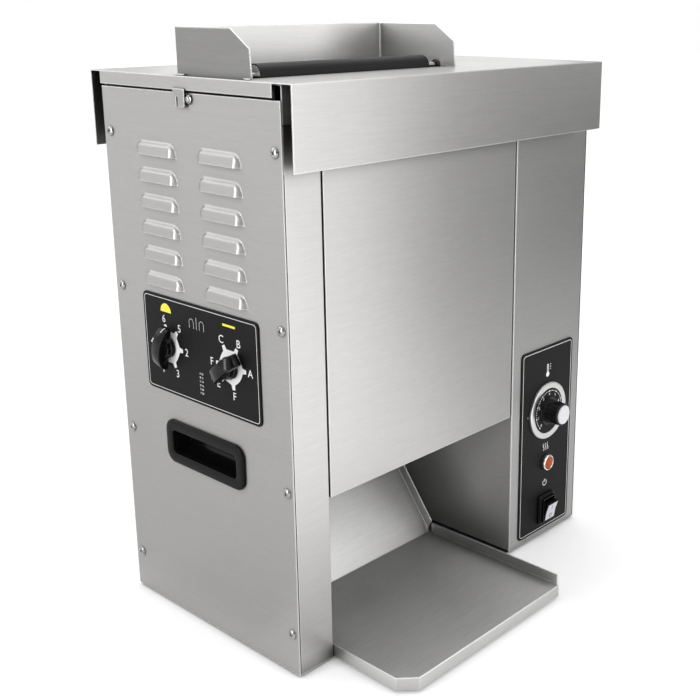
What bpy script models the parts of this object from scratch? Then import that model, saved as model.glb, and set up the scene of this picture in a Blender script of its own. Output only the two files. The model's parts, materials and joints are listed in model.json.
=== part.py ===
"""Vertical bun toaster: a stainless casing round a heated platen and two belt conveyors.

Metres, +Z up. The casing frame has X along the front from the left panel, Y from the front to the back
and Z from the panels' lower edges. One empty moves it so that the origin is under the middle of the toaster.
"""

import math

import bmesh
import bpy
from mathutils import Matrix, Vector
from mathutils.geometry import tessellate_polygon

# Sheet metal and clearances
SHEET = 0.0012
GAP = 0.0003
OVERRUN = 0.002
SHARP_ANGLE = math.radians(35)
ROUND_STEPS = 24
SMALL_STEPS = 16
BEND_STEPS = 4
MERGE_DIGITS = 6

# Casing
CASING_WIDTH = 0.490
CASING_DEPTH = 0.286
PANEL_HEIGHT = 0.584
RETURN_WIDTH = 0.018
PAN_INSET = 0.0005
PILLAR_WIDTH = 0.0465
PILLAR_RETURN = 0.012
CONTROL_BOX_WIDTH = 0.140
RECESS_WALL_HEIGHT = 0.232
RECESS_WALL_DEPTH = 0.200

# Rails under the cover
RAIL_DEPTH = 0.0135
RAIL_HEIGHT = 0.0365

# Feet
FOOT_RADIUS = 0.012
FOOT_HEIGHT = 0.0018
FOOT_INSET = 0.030

# Front door
DOOR_LEFT_GAP = 0.0024
DOOR_RIGHT_GAP = 0.003
DOOR_BOTTOM = 0.182
DOOR_TOP = 0.576
DOOR_RETURN = 0.012
DOOR_RETURN_TOP = 0.540

# Cover
COVER_TOP = 0.600
SKIRT_DROP = 0.080
SKIRT_STANDOFF = 0.0173
COVER_OVERHANG = 0.0016
LIP_DROP = 0.0138
LIP_SETBACK = 0.0095
LATCH_FRONT = 0.138
LATCH_BACK = 0.1565
LATCH_TOP = 0.588
LATCH_BOTTOM = 0.5695
LATCH_SLOT_WIDTH = 0.0026
LATCH_SLOT_HEIGHT = 0.0105
LATCH_SLOT_OFFSET = 0.0105
NOTCH_WIDTH = 0.009
NOTCH_DEPTH = 0.011
NOTCH_RADIUS = 0.003
LATCH_SCREW_RADIUS = 0.0024
LATCH_SCREW_HEIGHT = 0.578

# Chute
CHUTE_LEFT = 0.005
CHUTE_TO_CONTROL_BOX = 0.0578
CHUTE_FRONT = 0.044
CHUTE_BACK = 0.1592
CHUTE_HEIGHT = 0.046
CHUTE_SHOULDER = 0.028
CHUTE_SHOULDER_SETBACK = 0.002
CHUTE_TOP_SETBACK = 0.029
CHUTE_DEPTH_BELOW = 0.010
MOUTH_FRONT = 0.0595

# Conveyors
BELT_LEFT = 0.030
BELT_TO_CHUTE = 0.0252
BELT_RADIUS = 0.0115
BELT_THICKNESS = 0.001
HEEL_AXIS = 0.072
CROWN_AXIS = 0.172
HEEL_TOP = 0.6015
CROWN_TOP = 0.572
ROLLERS_BELOW_KNOBS = 0.053
SHAFT_RADIUS = 0.003
COLLAR_RADIUS = 0.006
COLLAR_LENGTH = 0.008
EAR_RADIUS = 0.006
WALLS_BELOW_ROLLERS = 0.020

# Drive gears
GEAR_MODULE = 0.0025
GEAR_TEETH = 40
PINION_TEETH = 12
ADDENDUM_SHARE = 0.8
DEDENDUM_SHARE = 1.05
PRESSURE_ANGLE = math.radians(20)
BACKLASH = 0.0003
GEAR_WIDTH = 0.006
GEAR_STANDOFF = 0.005
PINION_BEARING = math.radians(45)
GEAR_SHAFT_END = 0.002

# Motor
GEARBOX_SIZE = 0.064
GEARBOX_LENGTH = 0.038
MOTOR_RADIUS = 0.028
MOTOR_LENGTH = 0.072
MOTOR_SHAFT_RADIUS = 0.004
MOTOR_CORNER = 0.006

# Platen
PLATEN_FRONT = 0.106
PLATEN_THICKNESS = 0.014
PLATEN_PLATE = 0.0025
PLATEN_ABOVE_ROLLERS = 0.008
PLATEN_TOP = 0.588
BRACKET_BOTTOM = 0.360
BRACKET_TOP = 0.560
BRACKET_LAP = 0.010
HEATER_RADIUS = 0.0042
HEATER_RUNS = 5
HEATER_MARGIN = 0.030
HEATER_POINTS_PER_BEND = 5

# Pressure plates
STROKE = 0.006
PRESS_BELOW_KNOBS = 0.027
PRESS_TOP = 0.470
PRESS_MARGIN = 0.002
TONGUE_HEIGHT = 0.010
TONGUE_UPPER = 0.440
TONGUES_ABOVE_KNOBS = 0.028
TONGUE_REACH = 0.002
ARM_LEFT = 0.0205
ARM_LAP = 0.006
ARM_HALF_HEIGHT = 0.009
FOLLOWER_LEFT = 0.0095

# Cams
KNOB_HEIGHT = 0.315
HEEL_KNOB = 0.088
CROWN_KNOB = 0.192
CAM_RADIUS = 0.006
CAM_LEFT = 0.0105
CAM_RIGHT = 0.0165
CAM_CLEARANCE = 0.0004
CAM_STEPS = 30
CAM_SHAFT_END = 0.0185
CAM_FLAT_SHARE = 0.8
HEEL_TURN = (math.radians(-65), math.radians(213))
CROWN_TURN = (math.radians(-26), math.radians(257))

# Knobs
KNOB_SKIRT_RADIUS = 0.015
KNOB_SKIRT_HEIGHT = 0.009
KNOB_TOP = 0.018
KNOB_BAR_LENGTH = 0.047
KNOB_BAR_WIDTH = 0.011
KNOB_BAR_FOOT = 0.0015
KNOB_BAR_TAPER = 0.003
KNOB_BORE_DEPTH = 0.009
KNOB_EDGE = 0.001
KNOB_END_SHARE = 0.9
HEEL_POINTER = math.radians(-127)
CROWN_POINTER = math.radians(13)

# Dial plate
PLATE_THICKNESS = 0.001
PLATE_CORNER = 0.006
DIAL_FRONT = 0.043
DIAL_BACK = 0.235
DIAL_BELOW_KNOBS = 0.0535
DIAL_ABOVE_KNOBS = 0.055

# Pull handles
HANDLE_FRONT = 0.073
HANDLE_BACK = 0.208
HANDLE_BELOW_DIAL = 0.0285
HANDLE_HEIGHT = 0.053
HANDLE_CORNER = 0.013
HANDLE_POCKET_CORNER = 0.0065
HANDLE_RIM = 0.0125
HANDLE_PROUD = 0.003
HANDLE_EDGE = 0.0012
HANDLE_POCKET = 0.022
HANDLE_WALL = 0.0025
HANDLE_DRAFT = 0.003

# Louvres
LOUVRES_ABOVE_DIAL = 0.010
LOUVRES_BELOW_EDGE = 0.066
LOUVRE_ROWS = 6
LOUVRE_WIDTH = 0.068
LOUVRE_HEIGHT = 0.0147
LOUVRE_DEPTH = 0.0048
LOUVRE_CORNER = 0.011
LOUVRE_FRONTS = (0.0585, 0.1612)
LOUVRE_CORNER_STEPS = 3
LOUVRE_ROW_STEPS = 2

# Control plate and its parts
CONTROL_PLATE_INSET = 0.0173
CONTROL_PLATE_MARGIN = 0.016
CONTROL_BOTTOM = 0.007
CONTROL_TOP = 0.256
CONTROL_AXIS_INSET = 0.071
THERMOSTAT_HEIGHT = 0.171
BEZEL_RADIUS = 0.037
BEZEL_INNER = 0.0287
BEZEL_HEIGHT = 0.0032
BEZEL_EDGE = 0.0012
BEZEL_STEPS = 36
DIAL_DISC_RADIUS = 0.0282
DIAL_DISC_THICKNESS = 0.0022
THERMOSTAT_KNOB_RADIUS = 0.0145
THERMOSTAT_KNOB_HEIGHT = 0.0235
THERMOSTAT_CAP_RADIUS = 0.012
THERMOSTAT_CAP_HEIGHT = 0.002
FLUTES = 16
FLUTE_DEPTH = 0.0007
THERMOSTAT_BODY_RADIUS = 0.023
THERMOSTAT_BODY_DEPTH = 0.034
BUSH_RADIUS = 0.0055
BUSH_BORE_DEPTH = 0.009
BUSH_PROUD = 0.001
LAMP_HEIGHT = 0.1005
LAMP_FLANGE_RADIUS = 0.0105
LAMP_FLANGE_HEIGHT = 0.0042
LAMP_BODY_RADIUS = 0.0075
LAMP_BODY_DEPTH = 0.016
LENS_RADIUS = 0.008
LENS_HEIGHT = 0.0065
LENS_SEAT = 0.0018
LENS_SLOPES = (math.radians(35), math.radians(65))
ROCKER_HEIGHT = 0.0375
ROCKER_WIDTH = 0.0215
ROCKER_LENGTH = 0.0256
ROCKER_REACH = 0.0095
ROCKER_DISH = 0.001
ROCKER_BACK = 0.002
ROCKER_PIVOT = 0.0043
ROCKER_TILT = math.radians(14)
ROCKER_SIDE_FIT = 0.0004
COLLAR_WALL = 0.0013
COLLAR_HALF_HEIGHT = 0.0163
COLLAR_HEIGHT = 0.009
FLANGE_HEIGHT = 0.0045
FLANGE_MARGIN = 0.0018
SWITCH_BODY_DEPTH = 0.020
SWITCH_BODY_INSET = 0.003

# Landing tray
TRAY_LEFT = 0.0472
TRAY_TO_CONTROL_BOX = 0.043
TRAY_FRONT = 0.1076
TRAY_TOP = 0.014
TRAY_BEND = 0.0946
TRAY_SHEET = 0.0015
DEFLECTOR_ANGLE = math.radians(53)
DEFLECTOR_TOP = 0.168
TRAY_FLANGE = 0.0124
DEFLECTOR_FLANGE = 0.012
TRAY_FLANGE_SETBACK = 0.0026
TRAY_CORNER = 0.017
TRAY_NOTCH = 0.004
TRAY_REST_FRONT = 0.030
TRAY_REST_DEPTH = 0.016
TRAY_REST_MARGIN = 0.012

# Cable gland
GLAND_INSET = 0.050
GLAND_HEIGHT = 0.070
GLAND_RADIUS = 0.010
GLAND_BODY_RADIUS = 0.0075
GLAND_LENGTH = 0.014
GLAND_BORE = 0.0045
GLAND_INSIDE = 0.008
GLAND_FLANGE = 0.004

# Derived places
CONTROL_BOX_LEFT = CASING_WIDTH - CONTROL_BOX_WIDTH
CONTROL_LEFT = CONTROL_BOX_LEFT + CONTROL_PLATE_INSET
CONTROL_RIGHT = CASING_WIDTH - CONTROL_PLATE_MARGIN
CONTROL_AXIS = CONTROL_BOX_LEFT + CONTROL_AXIS_INSET
GLAND_X = CASING_WIDTH - GLAND_INSET
CHUTE_RIGHT = CONTROL_BOX_LEFT - CHUTE_TO_CONTROL_BOX
BELT_RIGHT = CHUTE_RIGHT - BELT_TO_CHUTE
TRAY_RIGHT = CONTROL_BOX_LEFT - TRAY_TO_CONTROL_BOX
DIAL_BOTTOM = KNOB_HEIGHT - DIAL_BELOW_KNOBS
DIAL_TOP = KNOB_HEIGHT + DIAL_ABOVE_KNOBS
HANDLE_TOP = DIAL_BOTTOM - HANDLE_BELOW_DIAL
HANDLE_BOTTOM = HANDLE_TOP - HANDLE_HEIGHT
LOUVRE_LOWEST = DIAL_TOP + LOUVRES_ABOVE_DIAL
LOUVRE_PITCH = (PANEL_HEIGHT - LOUVRES_BELOW_EDGE - LOUVRE_LOWEST) / (LOUVRE_ROWS - 1)
ROLLER_BOTTOM = KNOB_HEIGHT - ROLLERS_BELOW_KNOBS
WALL_BOTTOM = ROLLER_BOTTOM - WALLS_BELOW_ROLLERS
PLATEN_BOTTOM = ROLLER_BOTTOM + PLATEN_ABOVE_ROLLERS
PRESS_BOTTOM = KNOB_HEIGHT - PRESS_BELOW_KNOBS
TONGUE_LOWER = KNOB_HEIGHT + TONGUES_ABOVE_KNOBS
COVER_UNDER = COVER_TOP - SHEET
SKIN_LEFT = SHEET + GAP
SKIN_RIGHT = CASING_WIDTH - SHEET - GAP
PAN_BOTTOM = -GAP - SHEET
FLOOR = PAN_BOTTOM - GAP - FOOT_HEIGHT
WALL_LEFT = CHUTE_LEFT + SHEET + GAP
WALL_RIGHT = CHUTE_RIGHT - SHEET - GAP
PLATE_FACE = GAP + PLATE_THICKNESS
ROLLER_RADIUS = BELT_RADIUS - BELT_THICKNESS - GAP
PITCH_RADIUS = GEAR_MODULE * GEAR_TEETH / 2
PINION_PITCH_RADIUS = GEAR_MODULE * PINION_TEETH / 2
PINION_Y = CROWN_AXIS + (PITCH_RADIUS + PINION_PITCH_RADIUS) * math.cos(PINION_BEARING)
PINION_Z = ROLLER_BOTTOM + (PITCH_RADIUS + PINION_PITCH_RADIUS) * math.sin(PINION_BEARING)
GEAR_LEFT = WALL_RIGHT + GEAR_STANDOFF
GEAR_RIGHT = GEAR_LEFT + GEAR_WIDTH
RAIL_TOP = COVER_UNDER - GAP
RAIL_BOTTOM = RAIL_TOP - RAIL_HEIGHT
FRONT_RAIL_BACK = SHEET + GAP + RAIL_DEPTH
REAR_RAIL_FRONT = CASING_DEPTH - SHEET - GAP - RAIL_DEPTH
HEEL_PRESS_RATE = STROKE / (HEEL_TURN[1] - HEEL_TURN[0])
CROWN_PRESS_RATE = STROKE / (CROWN_TURN[1] - CROWN_TURN[0])
HEEL_CAM_REST = CAM_RADIUS - HEEL_TURN[0] * HEEL_PRESS_RATE
CROWN_CAM_REST = CAM_RADIUS - CROWN_TURN[0] * CROWN_PRESS_RATE
KNOB_REACH = PLATE_FACE + GAP + KNOB_TOP


def clear_scene():
    for item in list(bpy.data.objects):
        bpy.data.objects.remove(item, do_unlink=True)


def finish(name, colour, roughness, metallic):
    """A plain surface finish, named for what it is."""
    material = bpy.data.materials.new(name)
    material.use_nodes = True
    shader = material.node_tree.nodes["Principled BSDF"]
    shader.inputs["Base Color"].default_value = (*colour, 1.0)
    shader.inputs["Roughness"].default_value = roughness
    shader.inputs["Metallic"].default_value = metallic
    return material


clear_scene()
TOASTER = bpy.data.objects.new("toaster_frame", None)
bpy.context.collection.objects.link(TOASTER)
LEFT_REACH = -KNOB_REACH
RIGHT_REACH = CASING_WIDTH + LOUVRE_DEPTH
FRONT_REACH = -TRAY_FRONT
BACK_REACH = CASING_DEPTH + SKIRT_STANDOFF
TOASTER.location = (-(LEFT_REACH + RIGHT_REACH) / 2, -(FRONT_REACH + BACK_REACH) / 2, -FLOOR)

STAINLESS = finish("brushed_stainless", (0.72, 0.71, 0.69), 0.34, 1.0)
BRIGHT_STEEL = finish("bright_steel", (0.78, 0.77, 0.75), 0.2, 1.0)
BLACK_PLASTIC = finish("black_plastic", (0.012, 0.012, 0.013), 0.35, 0.0)
PRINTED_PLATE = finish("printed_plate", (0.02, 0.02, 0.021), 0.45, 0.0)
BLACK_BELT = finish("black_belt", (0.015, 0.015, 0.016), 0.6, 0.0)
RUBBER = finish("black_rubber", (0.01, 0.01, 0.01), 0.8, 0.0)
ALUMINIUM = finish("cast_aluminium", (0.6, 0.6, 0.6), 0.45, 1.0)
GALVANISED = finish("galvanised_steel", (0.5, 0.51, 0.52), 0.5, 1.0)
GEAR_STEEL = finish("gear_steel", (0.35, 0.35, 0.36), 0.4, 1.0)
AMBER = finish("amber_lens", (0.8, 0.22, 0.03), 0.15, 0.0)
WHITE_PLASTIC = finish("white_plastic", (0.75, 0.75, 0.73), 0.4, 0.0)
MOTOR_PAINT = finish("motor_paint", (0.05, 0.06, 0.07), 0.5, 0.0)


def built(maker):
    """A mesh from a bmesh with its faces turned outwards."""
    bmesh.ops.recalc_face_normals(maker, faces=maker.faces)
    mesh = bpy.data.meshes.new("shape")
    maker.to_mesh(mesh)
    maker.free()
    return mesh


def piece(name, mesh, material, pivot=(0, 0, 0), smooth=False):
    """One named piece in the casing frame, with its origin at the pivot."""
    mesh.name = name
    mesh.transform(Matrix.Translation(-Vector(pivot)))
    mesh.materials.append(material)
    if smooth:
        mesh.shade_smooth()
        mesh.set_sharp_from_angle(angle=SHARP_ANGLE)
    thing = bpy.data.objects.new(name, mesh)
    bpy.context.collection.objects.link(thing)
    thing.parent = TOASTER
    thing.location = pivot
    return thing


def gathered(meshes):
    """Several shapes in one mesh."""
    maker = bmesh.new()
    for mesh in meshes:
        maker.from_mesh(mesh)
    return built(maker)


def combine(thing, operation, meshes):
    """A Boolean with a hidden helper made of the given shapes."""
    helper = bpy.data.objects.new(thing.name + "_" + operation.lower(), gathered(meshes))
    bpy.context.collection.objects.link(helper)
    helper.parent = TOASTER
    helper.hide_render = True
    helper.display_type = "WIRE"
    modifier = thing.modifiers.new(operation.lower(), "BOOLEAN")
    modifier.operation = operation
    modifier.object = helper
    return thing


def cut(thing, *meshes):
    return combine(thing, "DIFFERENCE", meshes)


def fuse(thing, *meshes):
    return combine(thing, "UNION", meshes)


def in_space(point, axis, depth):
    """A point of a flat drawing, set at a depth along the axis that the drawing faces."""
    across, up = point
    if axis == "X":
        return (depth, across, up)
    if axis == "Y":
        return (across, depth, up)
    return (across, up, depth)


def sheet(outline, axis, low, high, holes=()):
    """A flat drawing with its holes, given a thickness along an axis."""
    loops = [outline, *holes]
    points = [point for loop in loops for point in loop]
    faces = [range(len(outline))]
    if holes:
        faces = tessellate_polygon([[Vector((*point, 0)) for point in loop] for loop in loops])
    maker = bmesh.new()
    sides = [[maker.verts.new(in_space(point, axis, depth)) for point in points] for depth in (low, high)]
    for corners in faces:
        for side in sides:
            maker.faces.new([side[index] for index in corners])
    start = 0
    for loop in loops:
        count = len(loop)
        for step in range(count):
            here, there = start + step, start + (step + 1) % count
            maker.faces.new([sides[0][here], sides[0][there], sides[1][there], sides[1][here]])
        start += count
    return built(maker)


def loft(rings, joined=False):
    """A skin over rings of points, closed at both ends or, where joined, round on itself."""
    maker = bmesh.new()
    rows = [[maker.verts.new(point) for point in ring] for ring in rings]
    count = len(rows[0])
    pairs = list(zip(rows, rows[1:]))
    if joined:
        pairs.append((rows[-1], rows[0]))
    else:
        maker.faces.new(rows[0])
        maker.faces.new(rows[-1])
    for first, second in pairs:
        for step in range(count):
            after = (step + 1) % count
            maker.faces.new([first[step], first[after], second[after], second[step]])
    return built(maker)


def rectangle(left, low, right, high):
    return [(left, low), (right, low), (right, high), (left, high)]


def box(low, high):
    return sheet(rectangle(low[0], low[1], high[0], high[1]), "Z", low[2], high[2])


def arc(centre, radius, start, end, steps):
    angles = [start + (end - start) * step / steps for step in range(steps + 1)]
    return [(centre[0] + radius * math.cos(angle), centre[1] + radius * math.sin(angle)) for angle in angles]


def circle(centre, radius, steps):
    return arc(centre, radius, 0, math.tau, steps)[:-1]


def rounded(left, low, right, high, radius, steps=BEND_STEPS):
    """A rectangle with round corners."""
    quarter = math.pi / 2
    corners = ((right, high, 0), (left, high, 1), (left, low, 2), (right, low, 3))
    points = []
    for x, z, turn in corners:
        across = x - math.copysign(radius, x - (left + right) / 2)
        centre = (across, z - math.copysign(radius, z - (low + high) / 2))
        points += arc(centre, radius, turn * quarter, (turn + 1) * quarter, steps)
    return points


def turned(centre, axis, profile, steps, joined=False):
    """A turned shape: the profile's points are (radius, place along the axis)."""
    rings = []
    for radius, place in profile:
        rings.append([in_space(point, axis, place) for point in circle(centre, radius, steps)])
    return loft(rings, joined)


def swung(points, centre, angle):
    """Points turned about a centre, from the first axis towards the second."""
    cosine, sine = math.cos(angle), math.sin(angle)
    moved = []
    for x, z in points:
        right, up = x - centre[0], z - centre[1]
        moved.append((centre[0] + right * cosine - up * sine, centre[1] + right * sine + up * cosine))
    return moved


def louvre_places():
    heights = [LOUVRE_LOWEST + row * LOUVRE_PITCH for row in range(LOUVRE_ROWS)]
    return [(front, height) for front in LOUVRE_FRONTS for height in heights]


def louvre_edge(front, low):
    """The pressed edge of one louvre, from its front lower corner over the top to its back one."""
    back = front + LOUVRE_WIDTH
    angles = [math.pi / 2 * step / LOUVRE_CORNER_STEPS for step in range(LOUVRE_CORNER_STEPS + 1)]
    bend = [(LOUVRE_CORNER * (1 - math.cos(angle)), LOUVRE_HEIGHT * math.sin(angle)) for angle in angles]
    start = [(front + across, low + up) for across, up in bend]
    end = [(back - across, low + up) for across, up in reversed(bend)]
    return start + end


def louvred_panel(outline, holes, outer, inner):
    """A side panel with its louvres pressed outwards and open at their lower edges."""
    edges = [louvre_edge(front, low) for front, low in louvre_places()]
    loops = [outline, *holes, *edges]
    points = [point for loop in loops for point in loop]
    triangles = tessellate_polygon([[Vector((*point, 0)) for point in loop] for loop in loops])
    outwards = math.copysign(LOUVRE_DEPTH, outer - inner)
    maker = bmesh.new()
    sides = [[maker.verts.new((depth, *point)) for point in points] for depth in (outer, inner)]
    for corners in triangles:
        for side in sides:
            maker.faces.new([side[index] for index in corners])
    start = 0
    for loop in loops:
        count = len(loop)
        hood = loop in edges
        for step in range(count):
            if hood and step < count - 1:
                continue
            here, there = start + step, start + (step + 1) % count
            maker.faces.new([sides[0][here], sides[0][there], sides[1][there], sides[1][here]])
        if hood:
            rims = [hood_skin(maker, side[start : start + count], depth, outwards) for side, depth in
                    zip(sides, (outer, inner))]
            for step in range(count - 1):
                corners = [rims[0][step], rims[0][step + 1], rims[1][step + 1], rims[1][step]]
                maker.faces.new(corners)
        start += count
    return built(maker)


def hood_skin(maker, edge, depth, outwards):
    """One side of a louvre's hood, from its pressed edge down to its open lip. Returns the lip's points."""
    low = edge[0].co.z
    front, back = edge[0].co.y, edge[-1].co.y
    rows = [edge]
    for row in range(1, LOUVRE_ROW_STEPS + 1):
        share = row / LOUVRE_ROW_STEPS
        line = [edge[0]]
        for point in edge[1:-1]:
            from_end = min(point.co.y - front, back - point.co.y) / LOUVRE_CORNER
            swell = math.sin(share * math.pi / 2) * math.sin(min(from_end, 1) * math.pi / 2)
            height = point.co.z + (low - point.co.z) * share
            line.append(maker.verts.new((depth + outwards * swell, point.co.y, height)))
        line.append(edge[-1])
        rows.append(line)
    for upper, lower in zip(rows, rows[1:]):
        for step in range(len(edge) - 1):
            corners = [upper[step], upper[step + 1], lower[step + 1], lower[step]]
            maker.faces.new(list(dict.fromkeys(corners)))
    return rows[-1]


def handle_opening():
    return rounded(
        HANDLE_FRONT + HANDLE_RIM - GAP - HANDLE_WALL,
        HANDLE_BOTTOM + HANDLE_RIM - GAP - HANDLE_WALL,
        HANDLE_BACK - HANDLE_RIM + GAP + HANDLE_WALL,
        HANDLE_TOP - HANDLE_RIM + GAP + HANDLE_WALL,
        HANDLE_POCKET_CORNER,
    )


def knob_hole(centre):
    return circle((centre, KNOB_HEIGHT), SHAFT_RADIUS + GAP, SMALL_STEPS)


def make_side_panels():
    notch_left = LATCH_FRONT - NOTCH_WIDTH
    notch_low = PANEL_HEIGHT - NOTCH_DEPTH
    bend = (notch_left + NOTCH_RADIUS, notch_low + NOTCH_RADIUS)
    notch = arc(bend, NOTCH_RADIUS, math.pi, math.pi + math.pi / 2, BEND_STEPS)
    outline = [(0, 0), (CASING_DEPTH, 0), (CASING_DEPTH, PANEL_HEIGHT)]
    outline += [(LATCH_FRONT, PANEL_HEIGHT), (LATCH_FRONT, notch_low), *reversed(notch)]
    outline += [(notch_left, PANEL_HEIGHT), (0, PANEL_HEIGHT)]
    holes = [handle_opening(), knob_hole(HEEL_KNOB), knob_hole(CROWN_KNOB)]
    piece("left_side_panel", louvred_panel(outline, holes, 0, SHEET), STAINLESS)
    plain = rectangle(0, 0, CASING_DEPTH, PANEL_HEIGHT)
    right = louvred_panel(plain, [handle_opening()], CASING_WIDTH, CASING_WIDTH - SHEET)
    piece("right_side_panel", right, STAINLESS)


def make_pillar():
    left, right = SKIN_LEFT, PILLAR_WIDTH
    outline = [(left, RETURN_WIDTH), (left, 0), (right, 0), (right, PILLAR_RETURN)]
    outline += [(right - SHEET, PILLAR_RETURN), (right - SHEET, SHEET)]
    outline += [(left + SHEET, SHEET), (left + SHEET, RETURN_WIDTH)]
    piece("front_pillar", sheet(outline, "Z", 0, RAIL_BOTTOM - GAP), STAINLESS)


def make_rear_panel():
    left, right = SKIN_LEFT, SKIN_RIGHT
    front, back = CASING_DEPTH - RETURN_WIDTH, CASING_DEPTH
    outline = [(left, front), (left + SHEET, front), (left + SHEET, back - SHEET)]
    outline += [(right - SHEET, back - SHEET), (right - SHEET, front), (right, front)]
    outline += [(right, back), (left, back)]
    panel = piece("rear_panel", sheet(outline, "Z", 0, PANEL_HEIGHT), STAINLESS)
    hole = circle((GLAND_X, GLAND_HEIGHT), GLAND_BODY_RADIUS + GAP, SMALL_STEPS)
    cut(panel, sheet(hole, "Y", back - SHEET - OVERRUN, back + OVERRUN))


def control_holes():
    """The openings that the controls need, the same in the plate and in the box behind it."""
    half_height = COLLAR_HALF_HEIGHT - SWITCH_BODY_INSET + GAP
    half_width = ROCKER_WIDTH / 2 + GAP
    return [
        circle((CONTROL_AXIS, THERMOSTAT_HEIGHT), BUSH_RADIUS + GAP, SMALL_STEPS),
        circle((CONTROL_AXIS, LAMP_HEIGHT), LAMP_BODY_RADIUS + GAP, SMALL_STEPS),
        rectangle(
            CONTROL_AXIS - half_width,
            ROCKER_HEIGHT - half_height,
            CONTROL_AXIS + half_width,
            ROCKER_HEIGHT + half_height,
        ),
    ]


def make_control_box():
    left, right, back = CONTROL_BOX_LEFT, SKIN_RIGHT, CASING_DEPTH - SHEET - GAP
    outline = [(left, back), (left, 0), (right, 0), (right, RETURN_WIDTH), (right - SHEET, RETURN_WIDTH)]
    outline += [(right - SHEET, SHEET), (left + SHEET, SHEET), (left + SHEET, back)]
    height = RAIL_BOTTOM - GAP
    front = piece("control_box_front", sheet(outline, "Z", 0, height), STAINLESS)
    cutters = [sheet(hole, "Y", -OVERRUN, SHEET + OVERRUN) for hole in control_holes()]
    shaft = circle((PINION_Y, PINION_Z), MOTOR_SHAFT_RADIUS + GAP, SMALL_STEPS)
    cutters.append(sheet(shaft, "X", left - OVERRUN, left + SHEET + OVERRUN))
    cut(front, *cutters)


def make_base():
    inset = PAN_INSET
    low = (inset, inset, PAN_BOTTOM)
    piece("base_pan", box(low, (CASING_WIDTH - inset, CASING_DEPTH - inset, -GAP)), STAINLESS)
    right = PILLAR_WIDTH - SHEET - GAP
    wall = box((right - SHEET, SHEET + GAP, 0), (right, RECESS_WALL_DEPTH, RECESS_WALL_HEIGHT))
    piece("recess_left_wall", wall, STAINLESS)
    for side, x in (("left", FOOT_INSET), ("right", CASING_WIDTH - FOOT_INSET)):
        for end, y in (("front", FOOT_INSET), ("rear", CASING_DEPTH - FOOT_INSET)):
            profile = [(FOOT_RADIUS, FLOOR), (FOOT_RADIUS, FLOOR + FOOT_HEIGHT)]
            piece(f"foot_{end}_{side}", turned((x, y), "Z", profile, SMALL_STEPS), RUBBER, smooth=True)


def make_rails():
    for name, front, back in (
        ("front_top_rail", SHEET + GAP, FRONT_RAIL_BACK),
        ("rear_top_rail", REAR_RAIL_FRONT, REAR_RAIL_FRONT + RAIL_DEPTH),
    ):
        low, high = RAIL_BOTTOM, RAIL_TOP
        left, right = SKIN_LEFT + SHEET + GAP, SKIN_RIGHT - SHEET - GAP
        outline = [(front, low), (back, low), (back, low + SHEET), (front + SHEET, low + SHEET)]
        outline += [(front + SHEET, high - SHEET), (back, high - SHEET), (back, high), (front, high)]
        if front > CASING_DEPTH / 2:
            outline = [(front + back - y, z) for y, z in outline]
        piece(name, sheet(outline, "X", left, right), GALVANISED)


def make_door():
    left, right = PILLAR_WIDTH + DOOR_LEFT_GAP, CONTROL_BOX_LEFT - DOOR_RIGHT_GAP
    door = piece("front_door", box((left, 0, DOOR_BOTTOM), (right, SHEET, DOOR_TOP)), STAINLESS)
    inner = SHEET / 2
    folds = [(left, inner), (right, inner), (right, DOOR_RETURN), (right - SHEET, DOOR_RETURN)]
    folds += [(right - SHEET, SHEET), (left + SHEET, SHEET), (left + SHEET, DOOR_RETURN), (left, DOOR_RETURN)]
    sides = sheet(folds, "Z", DOOR_BOTTOM, DOOR_RETURN_TOP)
    floor = box((left, inner, DOOR_BOTTOM), (right, DOOR_RETURN, DOOR_BOTTOM + SHEET))
    fuse(door, sides)
    fuse(door, floor)


def make_cover():
    front, back, top = -SKIRT_STANDOFF, CASING_DEPTH + SKIRT_STANDOFF, COVER_TOP
    hem = COVER_TOP - SKIRT_DROP
    outline = [(front, hem), (front + SHEET, hem), (front + SHEET, top - SHEET), (back - SHEET, top - SHEET)]
    outline += [(back - SHEET, hem), (back, hem), (back, top), (front, top)]
    left, right = -COVER_OVERHANG, CASING_WIDTH + COVER_OVERHANG
    cover = piece("top_cover", sheet(outline, "X", left, right), STAINLESS)
    mouth_low = (CHUTE_LEFT - GAP, MOUTH_FRONT, top - SHEET - OVERRUN)
    mouth_high = (CHUTE_RIGHT + GAP, CHUTE_BACK + GAP, top + OVERRUN)
    cut(cover, box(mouth_low, mouth_high))
    lip_low, lip_high = top - LIP_DROP, top - SHEET / 2
    lips = [
        box((x, LIP_SETBACK, lip_low), (x + SHEET, CASING_DEPTH, lip_high)) for x in (left, right - SHEET)
    ]
    fuse(cover, *lips)


def make_chute():
    left, right, front, back = CHUTE_LEFT, CHUTE_RIGHT, CHUTE_FRONT, CHUTE_BACK
    outline = [(left, front), (left + SHEET, front), (left + SHEET, back - SHEET)]
    outline.append((right - SHEET, back - SHEET))
    outline += [(right - SHEET, front), (right, front), (right, back), (left, back)]
    low, seat, high = COVER_TOP - CHUTE_DEPTH_BELOW, COVER_TOP + GAP, COVER_TOP + CHUTE_HEIGHT
    chute = piece("bun_chute", sheet(outline, "Z", low, high), STAINLESS)
    ahead = front - OVERRUN
    mouth = MOUTH_FRONT + GAP
    trim = [(ahead, low - OVERRUN), (mouth, low - OVERRUN), (mouth, seat), (front, seat)]
    trim += [(front + CHUTE_SHOULDER_SETBACK, COVER_TOP + CHUTE_SHOULDER), (front + CHUTE_TOP_SETBACK, high)]
    trim += [(front + CHUTE_TOP_SETBACK, high + OVERRUN), (ahead, high + OVERRUN)]
    cut(chute, sheet(trim, "X", left - OVERRUN, right + OVERRUN))


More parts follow.
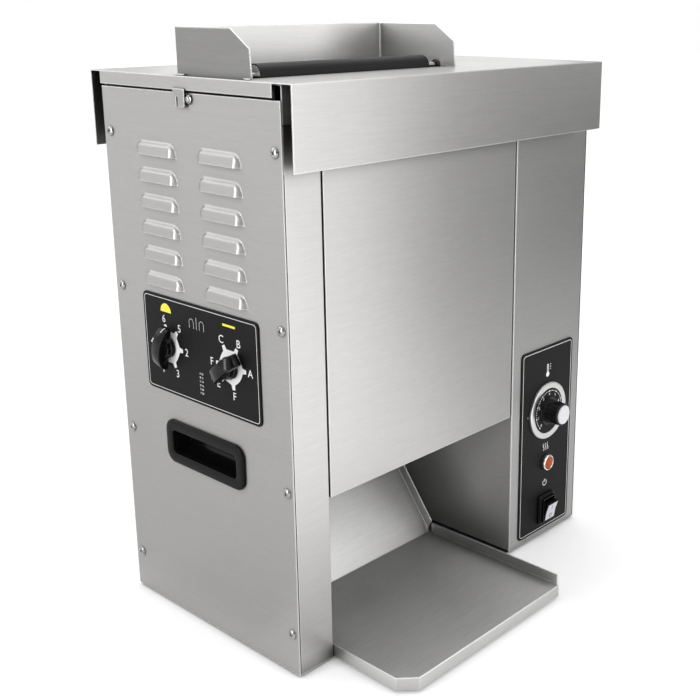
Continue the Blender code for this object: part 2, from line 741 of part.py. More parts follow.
def make_latch():
    """A fork that hangs from the cover's lip over a notch in the panel, where a screw's neck sits."""
    outer = -COVER_OVERHANG - GAP
    slot = LATCH_FRONT + LATCH_SLOT_OFFSET
    slot_top = LATCH_BOTTOM + LATCH_SLOT_HEIGHT
    outline = [(LATCH_FRONT, LATCH_BOTTOM), (slot, LATCH_BOTTOM), (slot, slot_top)]
    outline += [(slot + LATCH_SLOT_WIDTH, slot_top), (slot + LATCH_SLOT_WIDTH, LATCH_BOTTOM)]
    outline += [(LATCH_BACK, LATCH_BOTTOM), (LATCH_BACK, LATCH_TOP), (LATCH_FRONT, LATCH_TOP)]
    piece("cover_latch", sheet(outline, "X", outer - SHEET, outer), STAINLESS)
    middle = LATCH_FRONT - NOTCH_WIDTH / 2
    rail_side = SKIN_LEFT
    clip = box(
        (rail_side, LATCH_FRONT - NOTCH_WIDTH - SHEET, PANEL_HEIGHT - NOTCH_DEPTH - SHEET),
        (rail_side + SHEET, LATCH_FRONT + SHEET, PANEL_HEIGHT),
    )
    piece("latch_backing", clip, GALVANISED)
    profile = [(LATCH_SCREW_RADIUS, -GAP), (LATCH_SCREW_RADIUS, rail_side - GAP)]
    screw = turned((middle, LATCH_SCREW_HEIGHT), "X", profile, SMALL_STEPS)
    piece("latch_screw", screw, BRIGHT_STEEL, smooth=True)


def make_handles():
    """Moulded pull cups let into both side panels."""
    for name, face, inwards in (("left_pull_handle", 0, 1), ("right_pull_handle", CASING_WIDTH, -1)):
        rings = []
        sleeve, rim, floor = HANDLE_RIM - HANDLE_WALL, HANDLE_RIM, HANDLE_RIM + HANDLE_DRAFT
        for depth, inset, corner in (
            (HANDLE_POCKET + HANDLE_WALL, sleeve + HANDLE_DRAFT, HANDLE_POCKET_CORNER),
            (-GAP, sleeve, HANDLE_POCKET_CORNER),
            (-GAP, 0, HANDLE_CORNER),
            (HANDLE_EDGE - HANDLE_PROUD, 0, HANDLE_CORNER),
            (-HANDLE_PROUD, HANDLE_EDGE, HANDLE_CORNER - HANDLE_EDGE),
            (-HANDLE_PROUD, rim, HANDLE_POCKET_CORNER),
            (HANDLE_POCKET, floor, HANDLE_POCKET_CORNER),
        ):
            low, high = HANDLE_BOTTOM + inset, HANDLE_TOP - inset
            ring = rounded(HANDLE_FRONT + inset, low, HANDLE_BACK - inset, high, corner)
            rings.append([in_space(point, "X", face + inwards * depth) for point in ring])
        piece(name, loft(rings), BLACK_PLASTIC, smooth=True)


def make_dial_plate():
    outline = rounded(DIAL_FRONT, DIAL_BOTTOM, DIAL_BACK, DIAL_TOP, PLATE_CORNER)
    holes = [knob_hole(HEEL_KNOB), knob_hole(CROWN_KNOB)]
    piece("dial_plate", sheet(outline, "X", -PLATE_FACE, -GAP, holes), PRINTED_PLATE)


def make_knob(name, centre, pointer):
    """A skirted bar knob. The pointer's angle is clockwise from the top, seen from outside."""
    back = -PLATE_FACE - GAP
    pivot = (back, centre, KNOB_HEIGHT)
    skirt, edge = KNOB_SKIRT_RADIUS, KNOB_EDGE
    profile = [(skirt, back), (skirt, back - KNOB_SKIRT_HEIGHT + edge)]
    profile.append((skirt - edge, back - KNOB_SKIRT_HEIGHT))
    body = turned((centre, KNOB_HEIGHT), "X", profile, ROUND_STEPS)
    knob = piece(name, body, BLACK_PLASTIC, pivot, smooth=True)
    rings = []
    half_length, half_width = KNOB_BAR_LENGTH / 2, KNOB_BAR_WIDTH / 2
    shoulder = (KNOB_TOP - edge, KNOB_BAR_TAPER - edge)
    for height, pinch in ((KNOB_BAR_FOOT, 0), shoulder, (KNOB_TOP, KNOB_BAR_TAPER)):
        length, width = half_length - pinch, half_width - pinch / 2
        low, high = KNOB_HEIGHT - length, KNOB_HEIGHT + length
        bar = rounded(centre - width, low, centre + width, high, width * KNOB_END_SHARE)
        bar = swung(bar, (centre, KNOB_HEIGHT), pointer)
        rings.append([in_space(point, "X", back - height) for point in bar])
    fuse(knob, loft(rings))
    bore = [(SHAFT_RADIUS + GAP, back + OVERRUN), (SHAFT_RADIUS + GAP, back - KNOB_BORE_DEPTH)]
    cut(knob, turned((centre, KNOB_HEIGHT), "X", bore, SMALL_STEPS))


def cam_outline(centre, rest_radius, rate, turn, contact):
    """A steady spiral that keeps its follower against it through the whole turn.

    contact is the direction of the follower from the cam's axis. Where the cam has turned by an angle,
    the radius at the follower is the rest radius plus the rate times that angle.
    """
    sweep = turn[1] - turn[0]
    points = []
    for step in range(CAM_STEPS + 1):
        angle = turn[0] + sweep * step / CAM_STEPS
        radius = rest_radius + rate * angle
        points.append((contact - angle, radius))
    rest_of_circle = math.tau - sweep
    low_end = contact - turn[0]
    points = points[::-1]
    points.append((low_end + rest_of_circle * CAM_FLAT_SHARE, rest_radius + rate * turn[0]))
    points.append((low_end + rest_of_circle * CAM_FLAT_SHARE / 2, rest_radius + rate * turn[0]))
    points.sort()
    return [
        (centre + radius * math.cos(angle), KNOB_HEIGHT + radius * math.sin(angle)) for angle, radius in points
    ]


def make_cam(name, centre, outline):
    pivot = (0, centre, KNOB_HEIGHT)
    start = -PLATE_FACE - GAP - KNOB_BORE_DEPTH + GAP
    ends = [(SHAFT_RADIUS, start), (SHAFT_RADIUS, CAM_SHAFT_END)]
    shaft = turned((centre, KNOB_HEIGHT), "X", ends, SMALL_STEPS)
    cam = piece(name, shaft, BRIGHT_STEEL, pivot, smooth=True)
    fuse(cam, sheet(outline, "X", CAM_LEFT, CAM_RIGHT))


def make_adjusters():
    make_knob("heel_knob", HEEL_KNOB, HEEL_POINTER)
    make_knob("crown_knob", CROWN_KNOB, CROWN_POINTER)
    heel = cam_outline(HEEL_KNOB, HEEL_CAM_REST, HEEL_PRESS_RATE, HEEL_TURN, 0)
    crown = cam_outline(CROWN_KNOB, CROWN_CAM_REST, CROWN_PRESS_RATE, CROWN_TURN, math.pi)
    make_cam("heel_cam", HEEL_KNOB, heel)
    make_cam("crown_cam", CROWN_KNOB, crown)


def press_face(conveyor):
    """Where a pressure plate's working face stands at rest, and the way that it presses."""
    clear = BELT_RADIUS - BELT_THICKNESS - GAP
    if conveyor == "heel":
        return HEEL_AXIS + clear - HEEL_TURN[1] * HEEL_PRESS_RATE, 1
    return CROWN_AXIS - clear + CROWN_TURN[1] * CROWN_PRESS_RATE, -1


def span(start, length):
    return (min(start, start + length), max(start, start + length))


def make_pressure_plate(conveyor, follower_face):
    """A plate behind the belt's working run, with tongues in the chamber walls and an arm to its cam."""
    face, way = press_face(conveyor)
    near, far = span(face, -way * SHEET)
    left, right = BELT_LEFT + PRESS_MARGIN, BELT_RIGHT - PRESS_MARGIN
    tongue_left, tongue_right = WALL_LEFT - GAP, WALL_RIGHT + TONGUE_REACH
    outline = [(left, PRESS_BOTTOM), (right, PRESS_BOTTOM)]
    for low in (TONGUE_LOWER, TONGUE_UPPER):
        high = low + TONGUE_HEIGHT
        outline += [(right, low), (tongue_right, low), (tongue_right, high), (right, high)]
    outline += [(right, PRESS_TOP), (left, PRESS_TOP)]
    for low in (TONGUE_UPPER, TONGUE_LOWER):
        high = low + TONGUE_HEIGHT
        outline += [(left, high), (tongue_left, high), (tongue_left, low), (left, low)]
    plate = piece(f"{conveyor}_pressure_plate", sheet(outline, "Y", near, far), STAINLESS)
    lap, bend = left + ARM_LAP, ARM_LEFT + SHEET
    start, end = sorted((face - way * SHEET / 2, face - way * (SHEET + SHEET / 2)))
    foot, foot_end = sorted((follower_face, follower_face + way * SHEET))
    strip = [(lap, start), (ARM_LEFT, start), (ARM_LEFT, foot), (FOLLOWER_LEFT, foot)]
    strip += [(FOLLOWER_LEFT, foot_end), (bend, foot_end), (bend, end), (lap, end)]
    fuse(plate, sheet(strip, "Z", KNOB_HEIGHT - ARM_HALF_HEIGHT, KNOB_HEIGHT + ARM_HALF_HEIGHT))


def tongue_slots():
    """Slots in the chamber walls where the pressure plates' tongues slide."""
    slots = []
    sides = (("heel", HEEL_TURN, HEEL_PRESS_RATE), ("crown", CROWN_TURN, CROWN_PRESS_RATE))
    for conveyor, turn, rate in sides:
        face, way = press_face(conveyor)
        ends = (face + way * turn[1] * rate, face + way * (turn[0] * rate - SHEET))
        front, back = min(ends) - GAP, max(ends) + GAP
        for low in (TONGUE_LOWER, TONGUE_UPPER):
            slots.append(rectangle(front, low - GAP, back, low + TONGUE_HEIGHT + GAP))
    return slots


def shaft_places():
    return [
        (HEEL_AXIS, HEEL_TOP),
        (HEEL_AXIS, ROLLER_BOTTOM),
        (CROWN_AXIS, CROWN_TOP),
        (CROWN_AXIS, ROLLER_BOTTOM),
    ]


def make_chamber_walls():
    front, back = FRONT_RAIL_BACK + GAP, REAR_RAIL_FRONT - GAP
    ear = arc((HEEL_AXIS, HEEL_TOP), EAR_RADIUS, 0, math.pi, 2 * BEND_STEPS)
    notch_low = COVER_TOP - CHUTE_DEPTH_BELOW - GAP
    notch_front, notch_back = CHUTE_BACK - SHEET - GAP, CHUTE_BACK + GAP
    outline = [(front, WALL_BOTTOM), (back, WALL_BOTTOM), (back, RAIL_TOP), (notch_back, RAIL_TOP)]
    outline += [(notch_back, notch_low), (notch_front, notch_low), (notch_front, RAIL_TOP)]
    outline += [(ear[0][0], RAIL_TOP), *ear, (ear[-1][0], RAIL_TOP), (front, RAIL_TOP)]
    bearings = [circle(place, SHAFT_RADIUS + GAP, SMALL_STEPS) for place in shaft_places()]
    shared = [*bearings, *tongue_slots()]
    cam_holes = [knob_hole(HEEL_KNOB), knob_hole(CROWN_KNOB)]
    left = sheet(outline, "X", WALL_LEFT, WALL_LEFT + SHEET, [*shared, *cam_holes])
    piece("chamber_left_wall", left, STAINLESS)
    piece("chamber_right_wall", sheet(outline, "X", WALL_RIGHT - SHEET, WALL_RIGHT, shared), STAINLESS)


def make_roller(name, place, right_end):
    """A roller with its shaft and the short collar at its right end."""
    pivot = (0, *place)
    left, right = BELT_LEFT, BELT_RIGHT
    profile = [(SHAFT_RADIUS, WALL_LEFT), (SHAFT_RADIUS, left), (ROLLER_RADIUS, left), (ROLLER_RADIUS, right)]
    profile += [(COLLAR_RADIUS, right), (COLLAR_RADIUS, right + COLLAR_LENGTH)]
    profile += [(SHAFT_RADIUS, right + COLLAR_LENGTH), (SHAFT_RADIUS, right_end)]
    piece(name, turned(place, "X", profile, SMALL_STEPS), BRIGHT_STEEL, pivot, smooth=True)


def belt_loop(axis, low, high, radius):
    over = arc((axis, high), radius, 0, math.pi, SMALL_STEPS // 2)
    under = arc((axis, low), radius, math.pi, math.tau, SMALL_STEPS // 2)
    return over + under


def make_conveyors():
    gear_end = GEAR_RIGHT + GEAR_SHAFT_END
    make_roller("heel_top_roller", (HEEL_AXIS, HEEL_TOP), WALL_RIGHT)
    make_roller("crown_top_roller", (CROWN_AXIS, CROWN_TOP), WALL_RIGHT)
    make_roller("heel_drive_roller", (HEEL_AXIS, ROLLER_BOTTOM), gear_end)
    make_roller("crown_drive_roller", (CROWN_AXIS, ROLLER_BOTTOM), gear_end)
    for name, axis, high in (("heel_belt", HEEL_AXIS, HEEL_TOP), ("crown_belt", CROWN_AXIS, CROWN_TOP)):
        outer = belt_loop(axis, ROLLER_BOTTOM, high, BELT_RADIUS)
        inner = belt_loop(axis, ROLLER_BOTTOM, high, BELT_RADIUS - BELT_THICKNESS)
        belt = sheet(outer, "X", BELT_LEFT, BELT_RIGHT, [inner])
        piece(name, belt, BLACK_BELT, smooth=True)


def tooth_half_angle(radius, pitch_radius, teeth):
    """Half the angle that a tooth takes at a radius, on an involute flank."""
    base = pitch_radius * math.cos(PRESSURE_ANGLE)
    angle = math.acos(min(1, base / radius)) if radius > base else 0
    involute = math.tan(angle) - angle
    at_pitch = math.tan(PRESSURE_ANGLE) - PRESSURE_ANGLE
    return math.pi / (2 * teeth) - BACKLASH / (2 * pitch_radius) + at_pitch - involute


def gear_outline(centre, teeth):
    pitch_radius = GEAR_MODULE * teeth / 2
    root = pitch_radius - DEDENDUM_SHARE * GEAR_MODULE
    tip = pitch_radius + ADDENDUM_SHARE * GEAR_MODULE
    radii = [root, pitch_radius, tip]
    points = []
    for tooth in range(teeth):
        middle = math.tau * tooth / teeth
        flank = [(middle - tooth_half_angle(radius, pitch_radius, teeth), radius) for radius in radii]
        flank += [(2 * middle - angle, radius) for angle, radius in reversed(flank)]
        points += [(centre[0] + radius * math.cos(angle), centre[1] + radius * math.sin(angle))
                   for angle, radius in flank]
    return points


def make_gears():
    half_tooth = math.pi / GEAR_TEETH
    crown_place, heel_place = (CROWN_AXIS, ROLLER_BOTTOM), (HEEL_AXIS, ROLLER_BOTTOM)
    crown = gear_outline(crown_place, GEAR_TEETH)
    heel = swung(gear_outline(heel_place, GEAR_TEETH), heel_place, half_tooth)
    for name, outline, place in (("heel_gear", heel, heel_place), ("crown_gear", crown, crown_place)):
        bore = circle(place, SHAFT_RADIUS + GAP, SMALL_STEPS)
        gear = sheet(outline, "X", GEAR_LEFT, GEAR_RIGHT, [bore])
        piece(name, gear, GEAR_STEEL, (0, *place))
    pinion_place = (PINION_Y, PINION_Z)
    pinion = gear_outline(pinion_place, PINION_TEETH)
    bore = circle(pinion_place, MOTOR_SHAFT_RADIUS + GAP, SMALL_STEPS)
    piece("drive_pinion", sheet(pinion, "X", GEAR_LEFT, GEAR_RIGHT, [bore]), GEAR_STEEL, (0, *pinion_place))


def make_motor():
    place = (PINION_Y, PINION_Z)
    wall = CONTROL_BOX_LEFT + SHEET + GAP
    half = GEARBOX_SIZE / 2
    outline = rounded(place[0] - half, place[1] - half, place[0] + half, place[1] + half, MOTOR_CORNER)
    bore = circle(place, MOTOR_SHAFT_RADIUS + GAP, SMALL_STEPS)
    gearbox = sheet(outline, "X", wall, wall + GEARBOX_LENGTH, [bore])
    motor = piece("gear_motor", gearbox, MOTOR_PAINT, smooth=True)
    start = wall + GEARBOX_LENGTH - SHEET
    can = turned(place, "X", [(MOTOR_RADIUS, start), (MOTOR_RADIUS, start + MOTOR_LENGTH)], ROUND_STEPS)
    fuse(motor, can)
    ends = [(MOTOR_SHAFT_RADIUS, GEAR_LEFT), (MOTOR_SHAFT_RADIUS, start - GAP)]
    shaft = turned(place, "X", ends, SMALL_STEPS)
    piece("motor_shaft", shaft, BRIGHT_STEEL, (0, *place), smooth=True)


def heater_path():
    """A flat serpentine between the platen's two plates."""
    low, high = PLATEN_BOTTOM + HEATER_MARGIN, PLATEN_TOP - HEATER_MARGIN
    pitch = (high - low) / (HEATER_RUNS - 1)
    radius = pitch / 2
    inset = BRACKET_LAP + radius + 2 * HEATER_RADIUS
    left, right = BELT_LEFT + inset, BELT_RIGHT - inset
    points = [(left, low)]
    for bend in range(HEATER_RUNS - 1):
        height = low + bend * pitch + radius
        rightwards = bend % 2 == 0
        end = right if rightwards else left
        start = -math.pi / 2
        turn = math.pi if rightwards else -math.pi
        points += arc((end, height), radius, start, start + turn, HEATER_POINTS_PER_BEND)
    points.append((right if HEATER_RUNS % 2 else left, high))
    return points


def make_platen():
    front, back = PLATEN_FRONT, PLATEN_FRONT + PLATEN_THICKNESS
    left, right = BELT_LEFT, BELT_RIGHT
    for name, near in (("platen_heel_plate", front), ("platen_crown_plate", back - PLATEN_PLATE)):
        plate = box((left, near, PLATEN_BOTTOM), (right, near + PLATEN_PLATE, PLATEN_TOP))
        piece(name, plate, ALUMINIUM)
    inner_front, inner_back = front + PLATEN_PLATE + GAP, back - PLATEN_PLATE - GAP
    for name, start, end in (
        ("platen_left_bracket", WALL_LEFT + SHEET + GAP, left + BRACKET_LAP),
        ("platen_right_bracket", WALL_RIGHT - SHEET - GAP, right - BRACKET_LAP),
    ):
        inwards = math.copysign(SHEET, end - start)
        outline = [(start, inner_front), (end, inner_front), (end, inner_front + SHEET)]
        outline += [(start + inwards, inner_front + SHEET), (start + inwards, inner_back - SHEET)]
        outline += [(end, inner_back - SHEET), (end, inner_back), (start, inner_back)]
        piece(name, sheet(outline, "Z", BRACKET_BOTTOM, BRACKET_TOP), GALVANISED)
    curve = bpy.data.curves.new("heater_element", "CURVE")
    curve.dimensions = "3D"
    curve.bevel_depth = HEATER_RADIUS
    curve.bevel_resolution = 1
    curve.use_fill_caps = True
    path = heater_path()
    spline = curve.splines.new("POLY")
    spline.points.add(len(path) - 1)
    middle = (inner_front + inner_back) / 2
    for point, (x, z) in zip(spline.points, path):
        point.co = (x, middle, z, 1)
    curve.materials.append(GEAR_STEEL)
    heater = bpy.data.objects.new("heater_element", curve)
    bpy.context.collection.objects.link(heater)
    heater.parent = TOASTER


def make_control_plate():
    outline = rounded(CONTROL_LEFT, CONTROL_BOTTOM, CONTROL_RIGHT, CONTROL_TOP, PLATE_CORNER)
    piece("control_plate", sheet(outline, "Y", -PLATE_FACE, -GAP, control_holes()), PRINTED_PLATE)


def make_thermostat():
    place = (CONTROL_AXIS, THERMOSTAT_HEIGHT)
    face = -PLATE_FACE - GAP
    edge = BEZEL_EDGE
    outer, inner = BEZEL_RADIUS, BEZEL_INNER
    profile = [(outer, face), (outer, face - BEZEL_HEIGHT + edge), (outer - edge, face - BEZEL_HEIGHT)]
    profile += [(inner + edge, face - BEZEL_HEIGHT), (inner, face - BEZEL_HEIGHT + edge), (inner, face)]
    bezel = turned(place, "Y", profile, BEZEL_STEPS, joined=True)
    piece("thermostat_bezel", bezel, BRIGHT_STEEL, smooth=True)
    back = SHEET + GAP
    end, bush_front = back + THERMOSTAT_BODY_DEPTH, -PLATE_FACE - BUSH_PROUD
    profile = [(THERMOSTAT_BODY_RADIUS, end), (THERMOSTAT_BODY_RADIUS, back), (BUSH_RADIUS, back)]
    bore = SHAFT_RADIUS + GAP
    profile += [(BUSH_RADIUS, bush_front), (bore, bush_front), (bore, bush_front + BUSH_BORE_DEPTH)]
    piece("thermostat_body", turned(place, "Y", profile, ROUND_STEPS), GALVANISED, smooth=True)
    disc = bush_front - GAP
    pivot = (CONTROL_AXIS, disc, THERMOSTAT_HEIGHT)
    knob_face = disc - DIAL_DISC_THICKNESS
    rings = [circle(place, SHAFT_RADIUS, 2 * FLUTES), circle(place, SHAFT_RADIUS, 2 * FLUTES)]
    rings += [circle(place, DIAL_DISC_RADIUS, 2 * FLUTES), circle(place, DIAL_DISC_RADIUS, 2 * FLUTES)]
    depths = [bush_front + BUSH_BORE_DEPTH - GAP, disc, disc, knob_face]
    fluted = [circle(place, THERMOSTAT_KNOB_RADIUS - FLUTE_DEPTH * (step % 2), 2 * FLUTES)[step] for step in
              range(2 * FLUTES)]
    rings += [fluted, fluted, circle(place, THERMOSTAT_CAP_RADIUS, 2 * FLUTES)]
    top = disc - THERMOSTAT_KNOB_HEIGHT
    depths += [knob_face, top + KNOB_EDGE, top]
    rings = [[in_space(point, "Y", depth) for point in ring] for ring, depth in zip(rings, depths)]
    piece("thermostat_knob", loft(rings), BLACK_PLASTIC, pivot, smooth=True)
    radius, cap = THERMOSTAT_CAP_RADIUS, top - GAP
    profile = [(radius, cap), (radius, cap - THERMOSTAT_CAP_HEIGHT / 2)]
    profile.append((radius - KNOB_EDGE, cap - THERMOSTAT_CAP_HEIGHT))
    piece("thermostat_cap", turned(place, "Y", profile, ROUND_STEPS), WHITE_PLASTIC, pivot, smooth=True)


def make_lamp():
    place = (CONTROL_AXIS, LAMP_HEIGHT)
    face = -PLATE_FACE - GAP
    flange, edge = LAMP_FLANGE_RADIUS, LENS_SEAT / 2
    front = face - LAMP_FLANGE_HEIGHT
    seat = LENS_RADIUS + GAP
    profile = [(LAMP_BODY_RADIUS, face + LAMP_BODY_DEPTH), (LAMP_BODY_RADIUS, face), (flange, face)]
    profile += [(flange, front + edge), (flange - edge, front), (seat, front), (seat, front + LENS_SEAT)]
    piece("lamp_bezel", turned(place, "Y", profile, ROUND_STEPS), BRIGHT_STEEL, smooth=True)
    base = front + LENS_SEAT - GAP
    profile = [(LENS_RADIUS, base), (LENS_RADIUS, front)]
    rise = face - LENS_HEIGHT - front
    for angle in LENS_SLOPES:
        profile.append((LENS_RADIUS * math.cos(angle), front + rise * math.sin(angle)))
    piece("lamp_lens", turned(place, "Y", profile, ROUND_STEPS), AMBER, smooth=True)


def make_switch():
    middle, face = ROCKER_HEIGHT, -PLATE_FACE - GAP
    half_width = ROCKER_WIDTH / 2 + ROCKER_SIDE_FIT + COLLAR_WALL
    half_height = COLLAR_HALF_HEIGHT

    def block(grow, front, back):
        low = (CONTROL_AXIS - half_width - grow, front, middle - half_height - grow)
        return box(low, (CONTROL_AXIS + half_width + grow, back, middle + half_height + grow))

    frame = piece("rocker_frame", block(0, face - COLLAR_HEIGHT + GAP, face), BLACK_PLASTIC)
    fuse(frame, block(FLANGE_MARGIN, face - FLANGE_HEIGHT, face - GAP))
    body_low = (CONTROL_AXIS - ROCKER_WIDTH / 2, face - GAP, middle - half_height + SWITCH_BODY_INSET)
    body_high = (CONTROL_AXIS + ROCKER_WIDTH / 2, SWITCH_BODY_DEPTH, middle + half_height - SWITCH_BODY_INSET)
    fuse(frame, box(body_low, body_high))
    cut(frame, block(-COLLAR_WALL, face - COLLAR_HEIGHT - OVERRUN, face - GAP))
    half, reach, pivot_depth = ROCKER_LENGTH / 2, ROCKER_REACH, -ROCKER_PIVOT
    profile = [(-ROCKER_BACK, half - ROCKER_DISH), (-reach, half), (-reach + ROCKER_DISH, 0), (-reach, -half)]
    profile += [(-ROCKER_BACK, -half + ROCKER_DISH)]
    profile += arc((-ROCKER_BACK, 0), ROCKER_BACK, -math.pi / 2, math.pi / 2, BEND_STEPS)[1:-1]
    profile = [(pivot_depth + depth, middle + height) for depth, height in profile]
    profile = swung(profile, (pivot_depth, middle), ROCKER_TILT)
    left = CONTROL_AXIS - ROCKER_WIDTH / 2
    button = sheet(profile, "X", left, left + ROCKER_WIDTH)
    piece("rocker_button", button, WHITE_PLASTIC, (CONTROL_AXIS, pivot_depth, middle))


def thickened(thing, thickness):
    """A folded sheet from its outer face, with the thickness behind that face."""
    modifier = thing.modifiers.new("thickness", "SOLIDIFY")
    modifier.solidify_mode = "NON_MANIFOLD"
    modifier.nonmanifold_thickness_mode = "CONSTRAINTS"
    modifier.thickness = thickness
    modifier.offset = -1
    return thing


def folded(faces):
    """An open sheet of flat faces that share their fold lines."""
    maker = bmesh.new()
    points = {}
    for face in faces:
        corners = []
        for place in face:
            key = tuple(round(value, MERGE_DIGITS) for value in place)
            if key not in points:
                points[key] = maker.verts.new(place)
            corners.append(points[key])
        maker.faces.new(corners)
    mesh = bpy.data.meshes.new("shape")
    maker.to_mesh(mesh)
    maker.free()
    return mesh


def make_tray():
    """One bent sheet: a landing shelf with a raised right edge, then a deflector that slopes up and back."""
    top, bend, front, corner = TRAY_TOP, TRAY_BEND, -TRAY_FRONT, TRAY_CORNER
    left, right = TRAY_LEFT, TRAY_RIGHT - TRAY_SHEET
    cosine, sine = math.cos(DEFLECTOR_ANGLE), math.sin(DEFLECTOR_ANGLE)
    run = (DEFLECTOR_TOP - top) / sine
    lip_end, rise_start = bend - TRAY_NOTCH, front + TRAY_FLANGE_SETBACK

    def slope(x, along, away=0):
        return (x, bend + along * cosine - away * sine, top + along * sine + away * cosine)

    edge = [(left, lip_end), (left, front + corner), (left + corner, front), (right, front)]
    shelf = [*edge, (right, rise_start), (right, lip_end), (right, bend), (left, bend)]
    faces = [[(x, y, top) for x, y in shelf]]
    for (x, y), (next_x, next_y) in zip(edge, edge[1:]):
        faces.append([(x, y, top), (x, y, 0), (next_x, next_y, 0), (next_x, next_y, top)])
    high = top + TRAY_FLANGE
    faces.append([
        (right, rise_start, top), (right, rise_start, high), (right, lip_end, high), (right, lip_end, top)
    ])
    notch = TRAY_NOTCH
    back = [slope(left, 0), slope(right, 0), slope(right, notch), slope(right, run), slope(left, run)]
    faces.append(back)
    flange = DEFLECTOR_FLANGE
    faces.append([slope(right, run), slope(right, notch), slope(right, notch + flange / 2, flange),
                  slope(right, run, flange)])
    tray = piece("landing_tray", folded(faces), STAINLESS)
    thickened(tray, TRAY_SHEET)
    low, high = TRAY_REST_FRONT, TRAY_REST_FRONT + TRAY_REST_DEPTH
    shelf = top - TRAY_SHEET - GAP
    rest = [(low, 0), (low + SHEET, 0), (low + SHEET, shelf - SHEET), (high - SHEET, shelf - SHEET)]
    rest += [(high - SHEET, 0), (high, 0), (high, shelf), (low, shelf)]
    margin = TRAY_REST_MARGIN
    piece("tray_rest", sheet(rest, "X", left + margin, right - margin), GALVANISED)


def make_gland():
    place = (GLAND_X, GLAND_HEIGHT)
    back = CASING_DEPTH + GAP
    radius, body, bore = GLAND_RADIUS, GLAND_BODY_RADIUS, GLAND_BORE
    inner = CASING_DEPTH - SHEET - GLAND_INSIDE
    profile = [(bore, inner), (body, inner), (body, back)]
    profile += [(radius, back), (radius, back + GLAND_FLANGE), (body, back + GLAND_FLANGE)]
    profile += [(body, back + GLAND_LENGTH), (bore, back + GLAND_LENGTH)]
    piece("cable_gland", turned(place, "Y", profile, SMALL_STEPS, joined=True), BLACK_PLASTIC, smooth=True)


make_side_panels()
make_pillar()
make_rear_panel()
make_control_box()
make_base()
make_rails()
make_door()
make_cover()
make_chute()
make_latch()
make_handles()
make_dial_plate()
make_adjusters()
make_pressure_plate("heel", HEEL_KNOB + HEEL_CAM_REST + CAM_CLEARANCE)
make_pressure_plate("crown", CROWN_KNOB - CROWN_CAM_REST - CAM_CLEARANCE)
make_chamber_walls()
make_conveyors()
make_gears()
make_motor()
make_platen()
make_control_plate()
make_thermostat()
make_lamp()
make_switch()
make_tray()
make_gland()
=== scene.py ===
# %% [markdown]
# # A vertical bun toaster in brushed stainless steel
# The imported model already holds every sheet, roller and knob at its real size. This lesson dresses it: it
# gives each surface its finish and makes the pieces that a maker would press, mould or print more finely.
# Lengths are in metres. X runs to the right along the front, Y from the front to the back and Z up.

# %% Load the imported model
import json
from itertools import accumulate
from math import copysign, cos, pi, radians, sin, tau

import bmesh
import bpy
from mathutils import Matrix, Vector
from mathutils.geometry import tessellate_polygon


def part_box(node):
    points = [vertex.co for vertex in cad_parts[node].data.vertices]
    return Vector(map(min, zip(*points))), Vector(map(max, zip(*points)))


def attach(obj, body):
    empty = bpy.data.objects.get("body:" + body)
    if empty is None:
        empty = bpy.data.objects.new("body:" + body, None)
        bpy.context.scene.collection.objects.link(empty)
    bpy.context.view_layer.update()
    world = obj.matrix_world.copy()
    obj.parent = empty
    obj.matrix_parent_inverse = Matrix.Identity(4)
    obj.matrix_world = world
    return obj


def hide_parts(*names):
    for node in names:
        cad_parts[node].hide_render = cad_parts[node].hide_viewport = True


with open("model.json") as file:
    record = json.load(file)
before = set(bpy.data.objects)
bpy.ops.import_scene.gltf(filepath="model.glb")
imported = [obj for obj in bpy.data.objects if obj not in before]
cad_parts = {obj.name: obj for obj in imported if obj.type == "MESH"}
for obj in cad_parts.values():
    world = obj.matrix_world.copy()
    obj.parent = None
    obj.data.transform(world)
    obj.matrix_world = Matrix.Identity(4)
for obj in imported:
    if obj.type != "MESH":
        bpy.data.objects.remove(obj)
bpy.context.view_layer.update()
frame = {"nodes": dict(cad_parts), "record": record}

# %% [markdown]
# Drawings of such a machine are measured from a corner of its casing: the left panel's outer face, the
# front face and the panels' lower edge. The next values are that corner and the casing's main sizes, so
# that every later place can be read off as it would be on the workshop drawing. What both sides have is made
# in one loop over the side's name, the place of its outer face and the way in.

# %% The casing's corner and main sizes
casing_corner = Vector((-0.2376, -0.09785, 0.0036))
casing_width, casing_depth, panel_height = 0.490, 0.286, 0.584
sheet_thickness, running_gap, plate_face = 0.0012, 0.0003, 0.0013
both_sides = (("left", 0, 1), ("right", casing_width, -1))


def short(values):
    """Measures to a tenth of a millimetre, for print."""
    return [round(value, 4) for value in values]


left_panel_low, left_panel_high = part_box("left_side_panel")
print("left panel:", short(left_panel_low - casing_corner), "to", short(left_panel_high - casing_corner))

# %% [markdown]
# ## The camera
# A product photograph of a tall appliance is taken from above its middle, with the lens shifted so that
# the uprights stay nearly parallel. The place and turn were worked out from the casing's edges.

# %% Set up the camera
camera_place = Vector((-0.6443, -0.7517, 0.6702))
camera_pitch, camera_roll, camera_yaw = 0.2669, 0.0001, 0.842


def put_in_scene(name, data):
    """A new object, linked so that the scene holds it."""
    thing = bpy.data.objects.new(name, data)
    bpy.context.scene.collection.objects.link(thing)
    return thing


camera = put_in_scene("camera", bpy.data.cameras.new("camera"))
camera.location = camera_place + casing_corner
camera.rotation_euler = (pi / 2 - camera_pitch, camera_roll, -camera_yaw)
camera.data.lens, camera.data.shift_x, camera.data.shift_y = 56.13, -0.1118, -0.0728
camera.data.clip_start, camera.data.clip_end = 0.01, 50
bpy.context.scene.camera = camera
print("camera at", short(camera.location))

# %% [markdown]
# ## Nodes without the clutter
# A material is a small program of nodes. A few helpers keep the code readable: one adds a node with its
# sockets filled or linked, one writes a sum from left to right, and one opens a group with named inputs and
# outputs, so that an effect is built once and placed in every finish that needs it.

